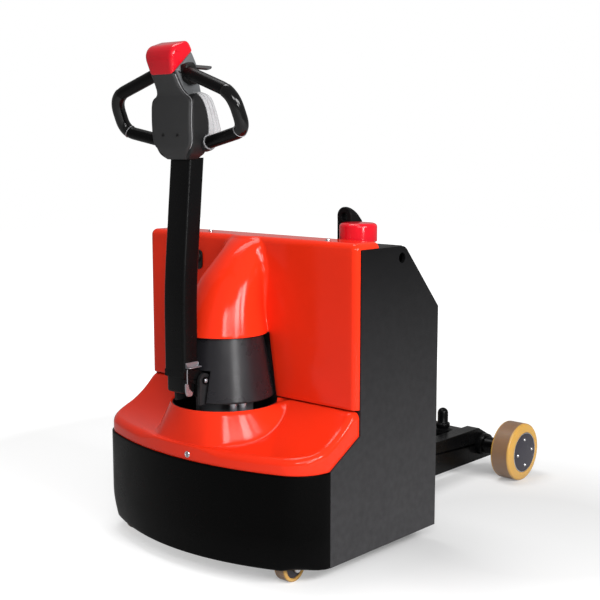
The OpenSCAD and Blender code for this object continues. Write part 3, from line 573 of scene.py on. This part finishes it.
tube = dict(width=68, depth=47, front=3, edge=7, bendZ=660, lean=27, bendLength=70)
skirt = dict(width=60, front=5, back=44, low=418, edge=9, soft=6, overlap=2)
tubeLow, tubeTop = cadBox("tiller_tube")[0][2], cadBox("tiller_tube")[1][2]
headAt = np.array([0, tube["front"] + tube["lean"] + tube["depth"] / 2, tubeTop])


def makeTube():
    # rounded rectangles up a line that bends back in one soft curve, and a shorter skirt below between the ears
    line = bentLine([(0, 0, tubeLow), (0, 0, tube["bendZ"]), (0, tube["lean"], tubeTop)], [tube["bendLength"]], 14)
    lean, z = line[:, 1] + tube["front"], line[:, 2]
    rings = roundedRings(tube["width"], lean, lean + tube["depth"], tube["edge"], z)
    q = np.linspace(0, 90, 6)
    shrink = np.concatenate([skirt["soft"] * (1 - sind(q)), [0]])
    z = np.concatenate([skirt["low"] + skirt["soft"] * (1 - cosd(q)), [tubeLow + skirt["overlap"]]])
    low = roundedRings(skirt["width"] - 2 * shrink, skirt["front"] + shrink, skirt["back"] - shrink, skirt["edge"], z)
    makePiece("tillerTube", [closeRings(rings), closeRings(low)], "tubeBlack", "tiller", ["tiller_tube"])


# height above the tube, half width, front
shieldTable = [(-4, 35, -32), (0, 36, -36), (8, 41, -41), (17, 49, -45.5), (25, 57, -48), (32, 61.5, -49),
               (42, 63.5, -50), (70, 64.5, -52), (100, 65, -52), (118, 65, -51), (127, 63.5, -50), (133, 59, -49),
               (137, 52.5, -48.8), (141, 47.5, -50.5), (148, 42.5, -54.5), (158, 39.5, -60.5), (172, 38, -68),
               (186, 38, -75.5)]
# height, half width, front, back
sidesTable = [(-4, 36, -30, -1), (2, 44, -36, 2), (8, 52, -38, 5), (17, 58, -40, 6.5), (28, 62.5, -42, 7),
              (42, 65.2, -43, 7), (73, 66, -44, 8), (106, 66, -44, 2), (126, 65.5, -43, -7), (134, 63.5, -40, -12.5),
              (140, 60, -33, -16.5), (143, 56, -26, -19)]
# height, half width where it meets the sides, where that is, back
rearTable = [(48, 59, 7, 54), (52, 62.5, 7.2, 58), (60, 65, 7.8, 60), (75, 65.4, 7.9, 55.5), (90, 65.4, 5.5, 50.5),
             (106, 65.2, 2, 44.5), (120, 64.8, -4, 38.5), (132, 63.5, -11, 33), (140, 60, -16.5, 27),
             (145, 54, -19.5, 20), (147, 48, -18, 14)]
# share of the rear cover's depth and how far its side steps in there, two grooves among them
rearSteps = [(0, 0), (0.24, 0), (0.26, 2.2), (0.285, 2.2), (0.305, 0.5), (0.5, 1.2), (0.52, 3.6), (0.545, 3.6),
             (0.565, 1.8), (0.75, 4), (0.85, 7), (0.92, 11.5), (0.97, 18), (1, 27)]
head = dict(shieldDepth=18, shieldEdge=6, sidesEdge=5)
# pale bead that paints the highlight along the joint of shield and sides
paintedSeamHighlight = dict(radius=0.9, top=184, low=4, proud=0.4, behind=0.8)


def makeHead():
    # shield and sides: rounded rectangles whose sizes follow smooth tables
    z = np.linspace(shieldTable[0][0], shieldTable[-1][0], 86)
    front = smoothTable(z, shieldTable, 2)
    shield = roundedRings(2 * smoothTable(z, shieldTable, 1), front, front + head["shieldDepth"],
                          head["shieldEdge"], z)
    piece = makePiece("headShield", [closeRings(shield) + headAt], "darkCasing", "tiller",
                      ["head_housing", "head_neck"], sharp=45)
    roundEdges(piece, 2, 3, 50)
    z = np.linspace(sidesTable[0][0], sidesTable[-1][0], 56)
    sides = roundedRings(*[f * smoothTable(z, sidesTable, c) for f, c in ((2, 1), (1, 2), (1, 3))],
                         head["sidesEdge"], z)
    # the sides take the darker casing copy: painted shade
    makePiece("headSides", [closeRings(sides) + headAt], "shadedSideCasing", "tiller", sharp=45)

    # rear cover: rows of height x a line that follows its steps back along one side and forward along the other
    z = np.linspace(rearTable[0][0], rearTable[-1][0], 48)[:, None]
    share, step = np.array(rearSteps).T
    meet, back = smoothTable(z, rearTable, 2), smoothTable(z, rearTable, 3)
    side = stack(smoothTable(z, rearTable, 1) - step, meet + share * (back - meet), z)
    piece = makePiece("headRearCover", [closeRings(np.concatenate([side, side[:, ::-1] * (-1, 1, 1)], 1)) + headAt],
                      "paleCasing", "tiller", ["head_rear_cover"], sharp=42)
    roundEdges(piece, 1.2, 2, 50)

    # a pale thin bead along the joint of shield and sides, from the button to the tube: a painted highlight where the
    # joint's lip catches the light
    z = np.linspace(paintedSeamHighlight["top"], paintedSeamHighlight["low"], 60)
    path = stack(smoothTable(z, shieldTable, 1) + paintedSeamHighlight["proud"],
                 smoothTable(z, shieldTable, 2) + head["shieldEdge"] + paintedSeamHighlight["behind"], z)
    bead = swept(path, paintedSeamHighlight["radius"], 8)
    makePiece("paintedSeamHighlight", [grid + headAt for grid in bothSides(bead)], "paleTrimAndHighlight", "tiller")


neck = dict(outline=[(-36, 130), (-40, 140), (-64, 190), (-66, 194), (-19, 237.5), (-6, 216), (3, 198), (6, 170),
                     (8, 130)],
            cuts=5, edge=6, width=[(130, 46), (138, 45), (148, 41.5), (160, 40), (240, 40)])
button = dict(outline=[(-75.5, 183), (-87, 224), (-78, 246), (-33, 260), (-24, 249), (-18.5, 237.5)],
              cuts=(3, 12, 13, 8, 6, 3), edge=10, width=[(183, 37.5), (206, 43), (226, 46), (262, 46)])
socketBlock = dict(outline=[(-54, 205), (-28, 213), (-2, 170), (-27, 161), (-49, 171)], cuts=7, edge=4,
                   width=[(161, 58), (213, 58)])


def makeNeck():
    # outlines in (y, z) carried across the width, with rounded sides
    def rounded(form):
        return [pillow(roundedLoop(form["outline"], form["cuts"]), form["width"], form["edge"]) + headAt]

    # the neck's grey is painted shade on pale casing
    makePiece("headNeck", rounded(neck), "neckShadeGrey", "tiller")
    makePiece("bellyButton", rounded(button), "redButton", "tiller", ["belly_button"], sharp=60)
    makePiece("gripSockets", rounded(socketBlock), "blackPlastic", "tiller", sharp=60)


gripPath = np.array([(50, -41, 189.5), (197, -48, 140), (200, -15, 61), (64, 4, 33.5)], float)
grip = dict(radius=14.6, bends=(38, 30), ringRadius=17.6, ringWidth=1.6, mouth=8)
sleeve = dict(start=0.36, end=0.655, swell=0.9, steps=44)


def alongPath(path, a, b, count):  # points at even steps between two shares of a path's length
    far = np.concatenate([[0], np.cumsum(np.linalg.norm(np.diff(path, axis=0), axis=1))])
    at = np.linspace(a, b, count) * far[-1]
    return np.stack([np.interp(at, far, path[:, i]) for i in range(3)], 1)


def makeHandles():
    # one bar along the bent path, a gloss sleeve round its upper bend and outer run, and a ring at each end of that
    line = alongPath(bentLine(gripPath, grip["bends"], 16), 0, 1, 110)
    run = alongPath(line, sleeve["start"], sleeve["end"], sleeve["steps"])
    g, r, w = grip["radius"], grip["ringRadius"], grip["ringWidth"]
    swell = g + sleeve["swell"] * np.clip(14 * np.sin(np.pi * np.linspace(0, 1, sleeve["steps"])), 0, 1)
    inward = unit(gripPath[3] - gripPath[2])
    mouth = gripPath[3] - inward * grip["mouth"]
    seam = [(g, -0.8), (g + 1.5, -0.5), (g + 1.5, 0.5), (g, 0.8), (g, -0.8)]
    rim = [(r - 3, 0), (r - 0.5, 0), (r, w / 2), (r - 0.5, w), (r - 3, w), (r - 3, 0)]
    bush = [(0, -18), (r + 1, -18), (r + 1, -4), (r + 0.4, -1), (r - 0.8, 0), (0, 0)]
    rings = [turned(seam, run[-1], run[-1] - run[-2], 40), turned(rim, mouth, -inward, 48)]
    for side, tag, flip in leftRight:
        turn = (flip, 1, 1)
        makePiece("handle" + tag, [swept(line, g) * turn + headAt], "gripBlack", "tiller",
                  ["handle_" + side])
        makePiece("gripSleeve" + tag, [swept(run, swell) * turn + headAt], "gripGloss", "tiller")
        makePiece("gripRings" + tag, [ring * turn + headAt for ring in rings], "paleTrimAndHighlight", "tiller")
        makePiece("gripBush" + tag, [turned(bush, mouth, -inward, 48) * turn + headAt], "shadedSideCasing", "tiller")


lever = dict(start=44, end=100, width=15, thickness=4.2, z=200, y=-19, fall=0.1, pitch=0.4)


def makeLevers():
    # butterfly levers: a rounded blade each side that falls a little outwards
    w = lever["width"] / 2
    blade = [(lever["start"], -w), (lever["end"], -w), (lever["end"], w), (lever["start"], w)]
    loop = roundedLoop(blade, (1, 7, 7, 1), 8) + (0, lever["y"])
    fall = lever["fall"] * (loop[:, 0] - lever["start"]) - lever["pitch"] * (loop[:, 1] - lever["y"])
    rings = closeRings(np.stack([stack(loop[:, 0], loop[:, 1], z - fall)
                                 for z in (lever["z"], lever["z"] + lever["thickness"])]))
    piece = makePiece("thumbLever", [grid + headAt for grid in bothSides(rings)], "leverGrey", "tiller",
                      ["thumb_lever"])
    roundEdges(piece, 1.2, 3, 45)


casingScrews = [((-24, -52, 51), (0, -1, 0)), ((24, -52, 51), (0, -1, 0)), ((66, -34, 53), (1, 0, 0)),
                ((-66, -34, 53), (-1, 0, 0))]


def makeCasingScrews():
    # a dished cup with a small head in it
    cup = [(3.6, -3), (3.6, 0.3), (3, 0.5), (2.4, 0.1), (2.2, -0.5), (0, -0.5), (0, -3)]
    screws = [turned(cup, np.array(at) + headAt, axis, 20) for at, axis in casingScrews]
    makePiece("casingScrews", screws, "blackPlastic", "tiller")


makeTube()
makeHead()
makeNeck()
makeHandles()
makeLevers()
makeCasingScrews()
print("tiller made")

# Steering cone and what shows round it

cone = dict(low=122, top=94, wall=4, edge=3.5, lidStep=40, slotHalf=51, slotTop=466)
coneLow, coneTop = cadBox("steering_cone")[0][2], cadBox("steering_cone")[1][2]


def roundSteering(r, a, z):  # points at radius r and angle a round the steering axis
    return stack(steerAxis[0] + r * cosd(a), steerAxis[1] + r * sind(a), z)


def makeCone():
    # round x height: a tapering wall with a slot in front for the tiller's foot, and a rounded closed top
    edge = cone["edge"]
    q = np.linspace(0, 90, 7)[1:]
    slotZ = np.linspace(coneLow, cone["slotTop"], 24)
    wallZ = np.concatenate([slotZ, np.linspace(cone["slotTop"], coneTop - edge, 20)[1:]])
    z = np.concatenate([wallZ, coneTop - edge + edge * sind(q), [coneTop, coneTop]])[:, None]
    taper = cone["low"] + (cone["top"] - cone["low"]) * (z - coneLow) / (coneTop - coneLow)
    lid = [cone["lidStep"], cone["top"]]
    inset = np.concatenate([np.zeros_like(wallZ), edge * (1 - cosd(q)), lid])[:, None]
    r = np.maximum(taper - inset, 0)
    slot = np.degrees(np.arcsin(np.clip(cone["slotHalf"] / np.maximum(r, cone["slotHalf"] * 1.3), 0, 1)))
    back = slot - 90 + (360 - 2 * slot) * np.linspace(0, 1, 97)
    front = -90 - slot + 2 * slot * np.linspace(0, 1, 15)
    around, bridge = [roundSteering(r, a, z) for a in (back, front)]
    piece = makePiece("steeringCone", [around, bridge[len(slotZ) - 1:]], "coneGrey", "steering",
                      ["steering_cone"], inside=(*steerAxis, 450), sharp=50)
    addWall(piece, cone["wall"], 0.8)


# black sheet on the collar's inner wall, which paints the shade there
collarShade = dict(top=374.4, topRadius=126.6, low=300, lowRadius=147, wall=1.2, spread=122)
coneFloor = dict(inner=74, outer=117.6, z=389, thickness=2.6, gap=34)
posts = dict(angles=(-33.3, -20.5), radius=9.4, circle=104, low=322, top=390)


def makeConeFittings():
    # a black sheet inside the collar, painted shade on its inner wall under the cone: angle x height
    a = np.linspace(-90 - collarShade["spread"], -90 + collarShade["spread"], 90)[:, None]
    u = np.linspace(0, 1, 8)
    r = collarShade["topRadius"] + (collarShade["lowRadius"] - collarShade["topRadius"]) * u
    sheet = roundSteering(r, a, collarShade["top"] + (collarShade["low"] - collarShade["top"]) * u)
    piece = makePiece("collarShadeSheet", [sheet], "blackPlastic", "chassis", inside=(*steerAxis, 340))
    addWall(piece, collarShade["wall"])
    # ring plate under the cone, open at the slot: angle x section
    a = np.linspace(-90 + coneFloor["gap"], 270 - coneFloor["gap"], 90)[:, None]
    r = np.array([coneFloor["inner"], coneFloor["inner"], coneFloor["outer"], coneFloor["outer"]])
    z = coneFloor["z"] + np.array([0, coneFloor["thickness"], coneFloor["thickness"], 0])
    makePiece("coneFloor", [closeRings(roundSteering(r, a, z))], "blackPlastic", "steering")
    # turned posts that hang from it
    h = posts["top"] - posts["low"]
    r = posts["radius"]
    section = [(0, 0), (r - 1.5, 0), (r, 1.5), (r, h - 6), (r + 1.6, h - 5), (r + 1.6, h), (0, h)]
    feet = roundSteering(posts["circle"], np.array(posts["angles"]), posts["low"])
    makePiece("conePosts", [turned(section, foot, (0, 0, 1), 28) for foot in feet], "paleZinc", "steering")


bracket = dict(section=[(33.8, 492), (36, 492), (36, 482), (48, 482), (48, 480), (33.8, 480)], start=8, end=46)
stay = dict(line=[(47, 2, 480), (47, 1, 470), (47, 1.5, 444)], radius=1.3)
hook = dict(x=47, outline=[(-6, 447), (3, 446), (6, 434), (18, 423), (13, 415), (-1, 417), (-5, 428)], cuts=3,
            thickness=3.4)


def makeTillerFittings():
    # angle bracket on the tube's side, a thin stay under it and the hook plate that the stay holds
    section = np.array(bracket["section"], float)
    rings = np.stack([stack(section[:, 0], y, section[:, 1]) for y in (bracket["start"], bracket["end"])])
    plate = roundedLoop(hook["outline"], hook["cuts"])
    plateX = [hook["x"] + side * hook["thickness"] / 2 for side in (-1, 1)]
    grids = [closeRings(rings), swept(alongPath(np.array(stay["line"], float), 0, 1, 14), stay["radius"], 12),
             closeRings(np.stack([stack(x, plate[:, 0], plate[:, 1]) for x in plateX]))]
    piece = makePiece("tillerBracket", grids, "paleZinc", "tiller")
    roundEdges(piece, 0.7, 2, 45)
    # bright domed rivet in each end of the tilt pin
    lo, hi = cadBox("tilt_pin")
    middle = (lo + hi) / 2
    dome = [(0, 2.6), (2.2, 2.3), (4.2, 1.3), (5.4, 0), (5.4, -1), (0, -1)]
    rivets = [turned(dome, (x, *middle[1:]), (flip, 0, 0), 24) for x, flip in ((lo[0], -1), (hi[0], 1))]
    makePiece("pinRivets", rivets, "paleZinc", "steering")


makeCone()
makeConeFittings()
makeTillerFittings()
print("cone and pivot made")

# Wheels

# radius, bore, width, shoulder and how far the outer flank stands out
tyres = dict(rear=(85, 59.6, 62, 6, 5), castor=(36, 27, 34, 4, 0), drive=(105, 78, 70, 6, 0))


def tyreProfile(radius, bore, width, soft, proud):
    # a closed section: outer flank, rounded shoulder, running face, and the same back; 1 marks the running face
    w, a = width / 2, np.linspace(0, 90, 7)
    arc = np.stack([radius - soft + soft * sind(a), w - soft + soft * cosd(a)], 1)
    edge = [(bore, w + proud - 3), (bore + 0.4, w + proud - 0.6), (bore + 1.6, w + proud)]
    half = np.concatenate([edge, arc, [(radius, w - soft - 1)]])
    back = np.concatenate([[(bore, w - 1), (bore + 0.4, w - 0.3), (bore + 1.6, w)], arc, [(radius, w - soft - 1)]])
    mark = np.concatenate([[0, 0, 0], np.linspace(0, 0.3, 7), [1]])
    return np.concatenate([half, back[::-1] * (1, -1), half[:1]]), np.concatenate([mark, mark[::-1], mark[:1]])


def makeTyre(name, node, body, kind, flip=1):
    profile, mark = tyreProfile(*tyres[kind])
    lo, hi = cadBox(node)
    rings = turned(profile, (lo + hi) / 2, (flip, 0, 0), 96)
    makePiece(name, [rings], "amberTread", body, [node], sharp=50,
              marks=np.broadcast_to(mark[:, None], rings.shape[:2]))


for side, tag, flip in leftRight:
    makeTyre("rearTyre" + tag, "rear_tyre_" + side, "rear_wheel_" + side, "rear", flip)
    makeTyre("castorTyre" + tag, "castor_tyre_" + side, "castor_wheel_" + side, "castor", flip)
makeTyre("driveTyre", "drive_tyre", "drive_wheel", "drive")

hubCap = dict(radius=59.2, face=4, ring=2.2, circle=39, turn=4, boltRadius=5, boltHeight=4.5)


def makeHubCaps():
    # a shallow disc over each trailing hub, a bright ring round it and four domed bolts, all turned profiles
    r, f, c = hubCap["radius"], hubCap["face"], hubCap["circle"]
    br, bh = hubCap["boltRadius"], hubCap["boltHeight"]
    inner = r - hubCap["ring"]
    disc = [(0, f), (r - 9, f), (r - 6, f - 0.6), (inner, f - 0.6), (inner, f - 5), (0, f - 5)]
    ring = [(inner, f - 5), (inner, f), ((inner + r) / 2, f + 0.5), (r, f), (r, f - 5), (inner, f - 5)]
    dome = [(0, bh), (br * 0.5, bh - 0.4), (br - 0.6, bh / 2), (br, 1.2), (br, -1), (0, -1)]
    for side, tag, flip in leftRight:
        lo, hi = cadBox("rear_tyre_" + side)
        middle = (lo + hi) / 2
        middle[0] = hi[0] if flip > 0 else lo[0]
        body, axis = "rear_wheel_" + side, (flip, 0, 0)
        makePiece("hubCap" + tag, [turned(disc, middle, axis, 72)], "hubGrey", body)
        bolts = [turned(dome, middle + (flip * f, c * cosd(a), c * sind(a)), axis, 20)
                 for a in np.arange(4) * 90 + hubCap["turn"]]
        makePiece("wheelBolts" + tag, bolts + [turned(ring, middle, axis, 72)], "bareSteel", body)


makeHubCaps()
print("wheels made")

# Fittings

# the knob stands wider than its CAD blank by the swell
knob = dict(swell=3, crownWide=11, crownHigh=9, waist=8, waistTop=7)
towPin = dict(domeRadius=16, foot=[(0, 0), (30, 0), (30, 1), (24, 3), (18, 7), (19, 7), (21, 8), (22, 10), (22, 17),
                                   (21, 19), (19, 20), (17, 20.5), (16, 22)])


def makeUprights():
    # turned mushroom with a rounded crown and a waist under it
    lo, hi = cadBox("stop_knob")
    r, h = (hi[0] - lo[0]) / 2 + knob["swell"], hi[2] - lo[2]
    wide, high, waist, rise = knob["crownWide"], knob["crownHigh"], r - knob["waist"], knob["waistTop"]
    a = np.linspace(0, 90, 9)
    crown = np.stack([r - wide + wide * cosd(a), h - high + high * sind(a)], 1)
    stem = [(0, 0), (waist, 0), (waist, rise), (r - 1.5, rise + 1), (r, rise + 2.5)]
    profile = np.concatenate([stem, crown, [(0.4 * r, h), (0, h)]])
    makePiece("stopKnob", [turned(profile, (*((lo + hi) / 2)[:2], lo[2]), (0, 0, 1), 72)], "redButton", "chassis",
              ["stop_knob"])
    # turned pin: flared foot, bevelled collar, waist and dome
    lo, hi = cadBox("tow_pin")
    r, h = towPin["domeRadius"], hi[2] - lo[2]
    a = np.linspace(0, 90, 10)
    dome = np.stack([r * cosd(a), h - r + r * sind(a)], 1)
    makePiece("towPin", [turned(np.concatenate([towPin["foot"], dome]), (*((lo + hi) / 2)[:2], lo[2]), (0, 0, 1), 64)],
              "tubeBlack", "chassis", ["tow_pin"])


coverScrews = [(-160.7, 279), (247.6, 262), (-247.6, 262)]
rimScrew = dict(at=(39.6, 4.4, 277.9), radius=7.8)


def makeScrews():
    # domed screws on the cover's top, and a cupped washer with its screw on the rim
    dome = [(0, 5), (3, 5), (4.4, 4.4), (5, 3), (5, 1.4), (7.5, 1.2), (7.5, -1), (0, -1)]
    screws = [turned(dome, (x, y, upper["top"]), (0, 0, 1), 28) for x, y in coverScrews]
    makePiece("coverScrews", screws, "bareSteel", "chassis")
    axis = (rimScrew["at"][0] / bowRadius, -1, 0)
    r = rimScrew["radius"]
    cup = [(r, -3), (r, 0.4), (r - 0.8, 1.4), (r - 2, 1.6), (r - 2.9, 0.8), (r - 3, -3), (r, -3)]
    disc = [(0, 0.2), (r - 3.4, 0), (r - 3.1, -0.6), (r - 3.1, -3), (0, -3)]
    makePiece("rimWasher", [turned(cup, rimScrew["at"], axis, 32)], "bareSteel", "chassis")
    makePiece("rimScrew", [turned(disc, rimScrew["at"], axis, 24)], "paleZinc", "chassis")


keyPlate = dict(middle=(-163, 702), width=30, height=50, thickness=4, sink=0.5, corner=15)
keyLock = dict(radius=13, reach=10, rise=7)


def makeKeySwitch():
    # an upright rounded plate on the cover's face with a turned lock in it
    cx, cz = keyPlate["middle"]
    w, h = keyPlate["width"] / 2, keyPlate["height"] / 2
    face = shell["faceY"]
    loop = roundedLoop([(-w, -h), (w, -h), (w, h), (-w, h)], keyPlate["corner"], 8) + (cx, cz)
    plateY = face + keyPlate["sink"], face - keyPlate["thickness"]
    plate = closeRings(np.stack([stack(loop[:, 0], y, loop[:, 1]) for y in plateY]))
    r, t = keyLock["radius"], keyLock["reach"]
    lock = [(0, t - 3), (3, t - 3), (3.4, t - 0.4), (r - 3, t), (r - 0.6, t - 1), (r, t - 3), (r, 0), (0, 0)]
    grids = [plate, turned(lock, (cx, face, cz + keyLock["rise"]), (0, -1, 0), 40)]
    piece = makePiece("keySwitch", grids, "blackPlastic", "chassis", ["key_switch"])
    roundEdges(piece, 1.4, 3, 45)


makeUprights()
makeScrews()
makeKeySwitch()
print("fittings made")

# CAD nodes that keep their own shape

kept = dict(blackSteel=["base_plate", "battery_floor", "side_plate_left", "side_plate_right", "rear_panel",
                        "castor_mounts", "lifting_eye", "steering_head"],
            tubeBlack=["tow_arm_left", "tow_arm_right", "rear_axle", "hitch_plate", "tiller_foot", "tilt_pin"],
            batteryCase=["battery"], bareSteel=["slewing_ring", "castor_fork_left", "castor_fork_right"],
            castGrey=["drive_motor", "drive_leg"],
            hubGrey=["drive_hub", "castor_hub_left", "castor_hub_right", "rear_hub_left", "rear_hub_right"])
plainEdge, weldWithin = 0.8, 0.005
edgeWidth = dict(side_plate_left=1.0, side_plate_right=1.0, tow_arm_left=2.5, tow_arm_right=2.5, lifting_eye=3)

for finish, names in kept.items():
    for name in names:
        node = frame["nodes"][name]
        node.data.materials.clear()
        node.data.materials.append(finishes[finish])
        merge = node.modifiers.new("merged points", "WELD")
        merge.merge_threshold = weldWithin * mm
        roundEdges(node, edgeWidth.get(name, plainEdge), 2, 40)
print("CAD nodes dressed")

# Stage, light and camera

floorSize, floorLines, floorTone = 9, 9, 0.66  # half the floor's side in metres, lines each way, grey
# the floor's lift to white: a point, two distances from it and the lift at both
liftRanges = [((0.5, 0.15, 0), 0.3, 0.95, 0.1, 0.55), ((0, 0, 0), 0.8, 1.7, 0.0, 1.0)]
worldFill, mirrorShare = 0.24, 0.13  # strength of the white world as light, and as mirrored
lampAim = Vector((0, -0.3, 0.45))
lamps = [  # name, direction as degrees from +X and height, distance, width and height, power
    ("panelLeft", -46, 27, 3.2, (0.45, 0.7), 20),
    ("panelWide", -29, 27, 3.3, (1.3, 0.6), 22),
    ("panelMiddle", -11, 27, 3.2, (0.62, 0.7), 38),
    ("panelRight", 5, 26, 3.2, (0.5, 0.7), 30),
    ("lowKey", -18, 10, 3.4, (0.6, 0.35), 20),
    ("overhead", 175, 80, 3.0, (1.3, 1.3), 40),
]


def brightRay(tree):  # 1 for rays that see the stage itself, a small share for those that mirror it
    rays = tree.nodes.new("ShaderNodeLightPath").outputs
    reflected = mathNode(tree, "MULTIPLY", rays["Is Glossy Ray"], mirrorShare)
    seen = mathNode(tree, "MAXIMUM", rays["Is Camera Ray"], reflected)
    return mathNode(tree, "MAXIMUM", seen, rays["Is Transmission Ray"])


def makeStage():
    # a flat pale floor, lifted to white for rays that show it, so that only the shadow darkens it
    mat, tree, shader = newMaterial("pale floor")
    place = objectPlace(tree)
    lifts = []
    for point, near, far, low, high in liftRanges:
        away = tree.nodes.new("ShaderNodeVectorMath")
        away.operation = "DISTANCE"
        feed(tree, away, {0: place, 1: point})
        lifts.append(mapRange(tree, away.outputs["Value"], near, far, low, high))
    glow = mathNode(tree, "MULTIPLY", brightRay(tree), mathNode(tree, "MAXIMUM", *lifts))
    feed(tree, shader, {"Base Color": (floorTone,) * 3, "Roughness": 0.9, "Specular IOR Level": 0,
                        "Emission Color": (1, 1, 1), "Emission Strength": glow})
    line = np.linspace(-floorSize, floorSize, floorLines)
    mesh = bpy.data.meshes.new("floor")
    mesh.from_pydata(stack(line[:, None], line, 0).reshape(-1, 3).tolist(), [],
                     gridQuads(floorLines, floorLines).tolist())
    mesh.materials.append(mat)
    floor = addObject("floor", mesh)


def makeLamp(name, turn, rise, distance, size, power):
    lamp = bpy.data.lights.new(name, "AREA")
    lamp.shape, lamp.energy = "RECTANGLE", power
    lamp.size, lamp.size_y = size
    obj = addObject(name, lamp)
    towards = Vector((cosd(rise) * cosd(turn), cosd(rise) * sind(turn), sind(rise)))
    obj.location = lampAim + towards * distance
    obj.rotation_euler = towards.to_track_quat("Z", "Y").to_euler()


def makeWorld():
    world = bpy.data.worlds.new("studio")
    bpy.context.scene.world = world
    world.use_nodes = True
    tree = world.node_tree
    strength = mapRange(tree, brightRay(tree), 0, 1, worldFill, 1.0)
    feed(tree, tree.nodes["Background"], {"Color": (1, 1, 1), "Strength": strength})


camera = dict(place=(1.9505, -2.3383, 1.0), tilt=90 - 7.963, turn=41.86, lens=68.24, sensor=36)


def makeCamera():
    data = bpy.data.cameras.new("camera")
    data.lens, data.sensor_width = camera["lens"], camera["sensor"]
    obj = addObject("camera", data)
    obj.location = camera["place"]
    obj.rotation_euler = (math.radians(camera["tilt"]), 0, math.radians(camera["turn"]))
    bpy.context.scene.camera = obj


makeStage()
makeWorld()
for lamp in lamps:
    makeLamp(*lamp)
makeCamera()
bpy.context.scene.view_settings.view_transform = "Standard"
print("stage, light and camera set")
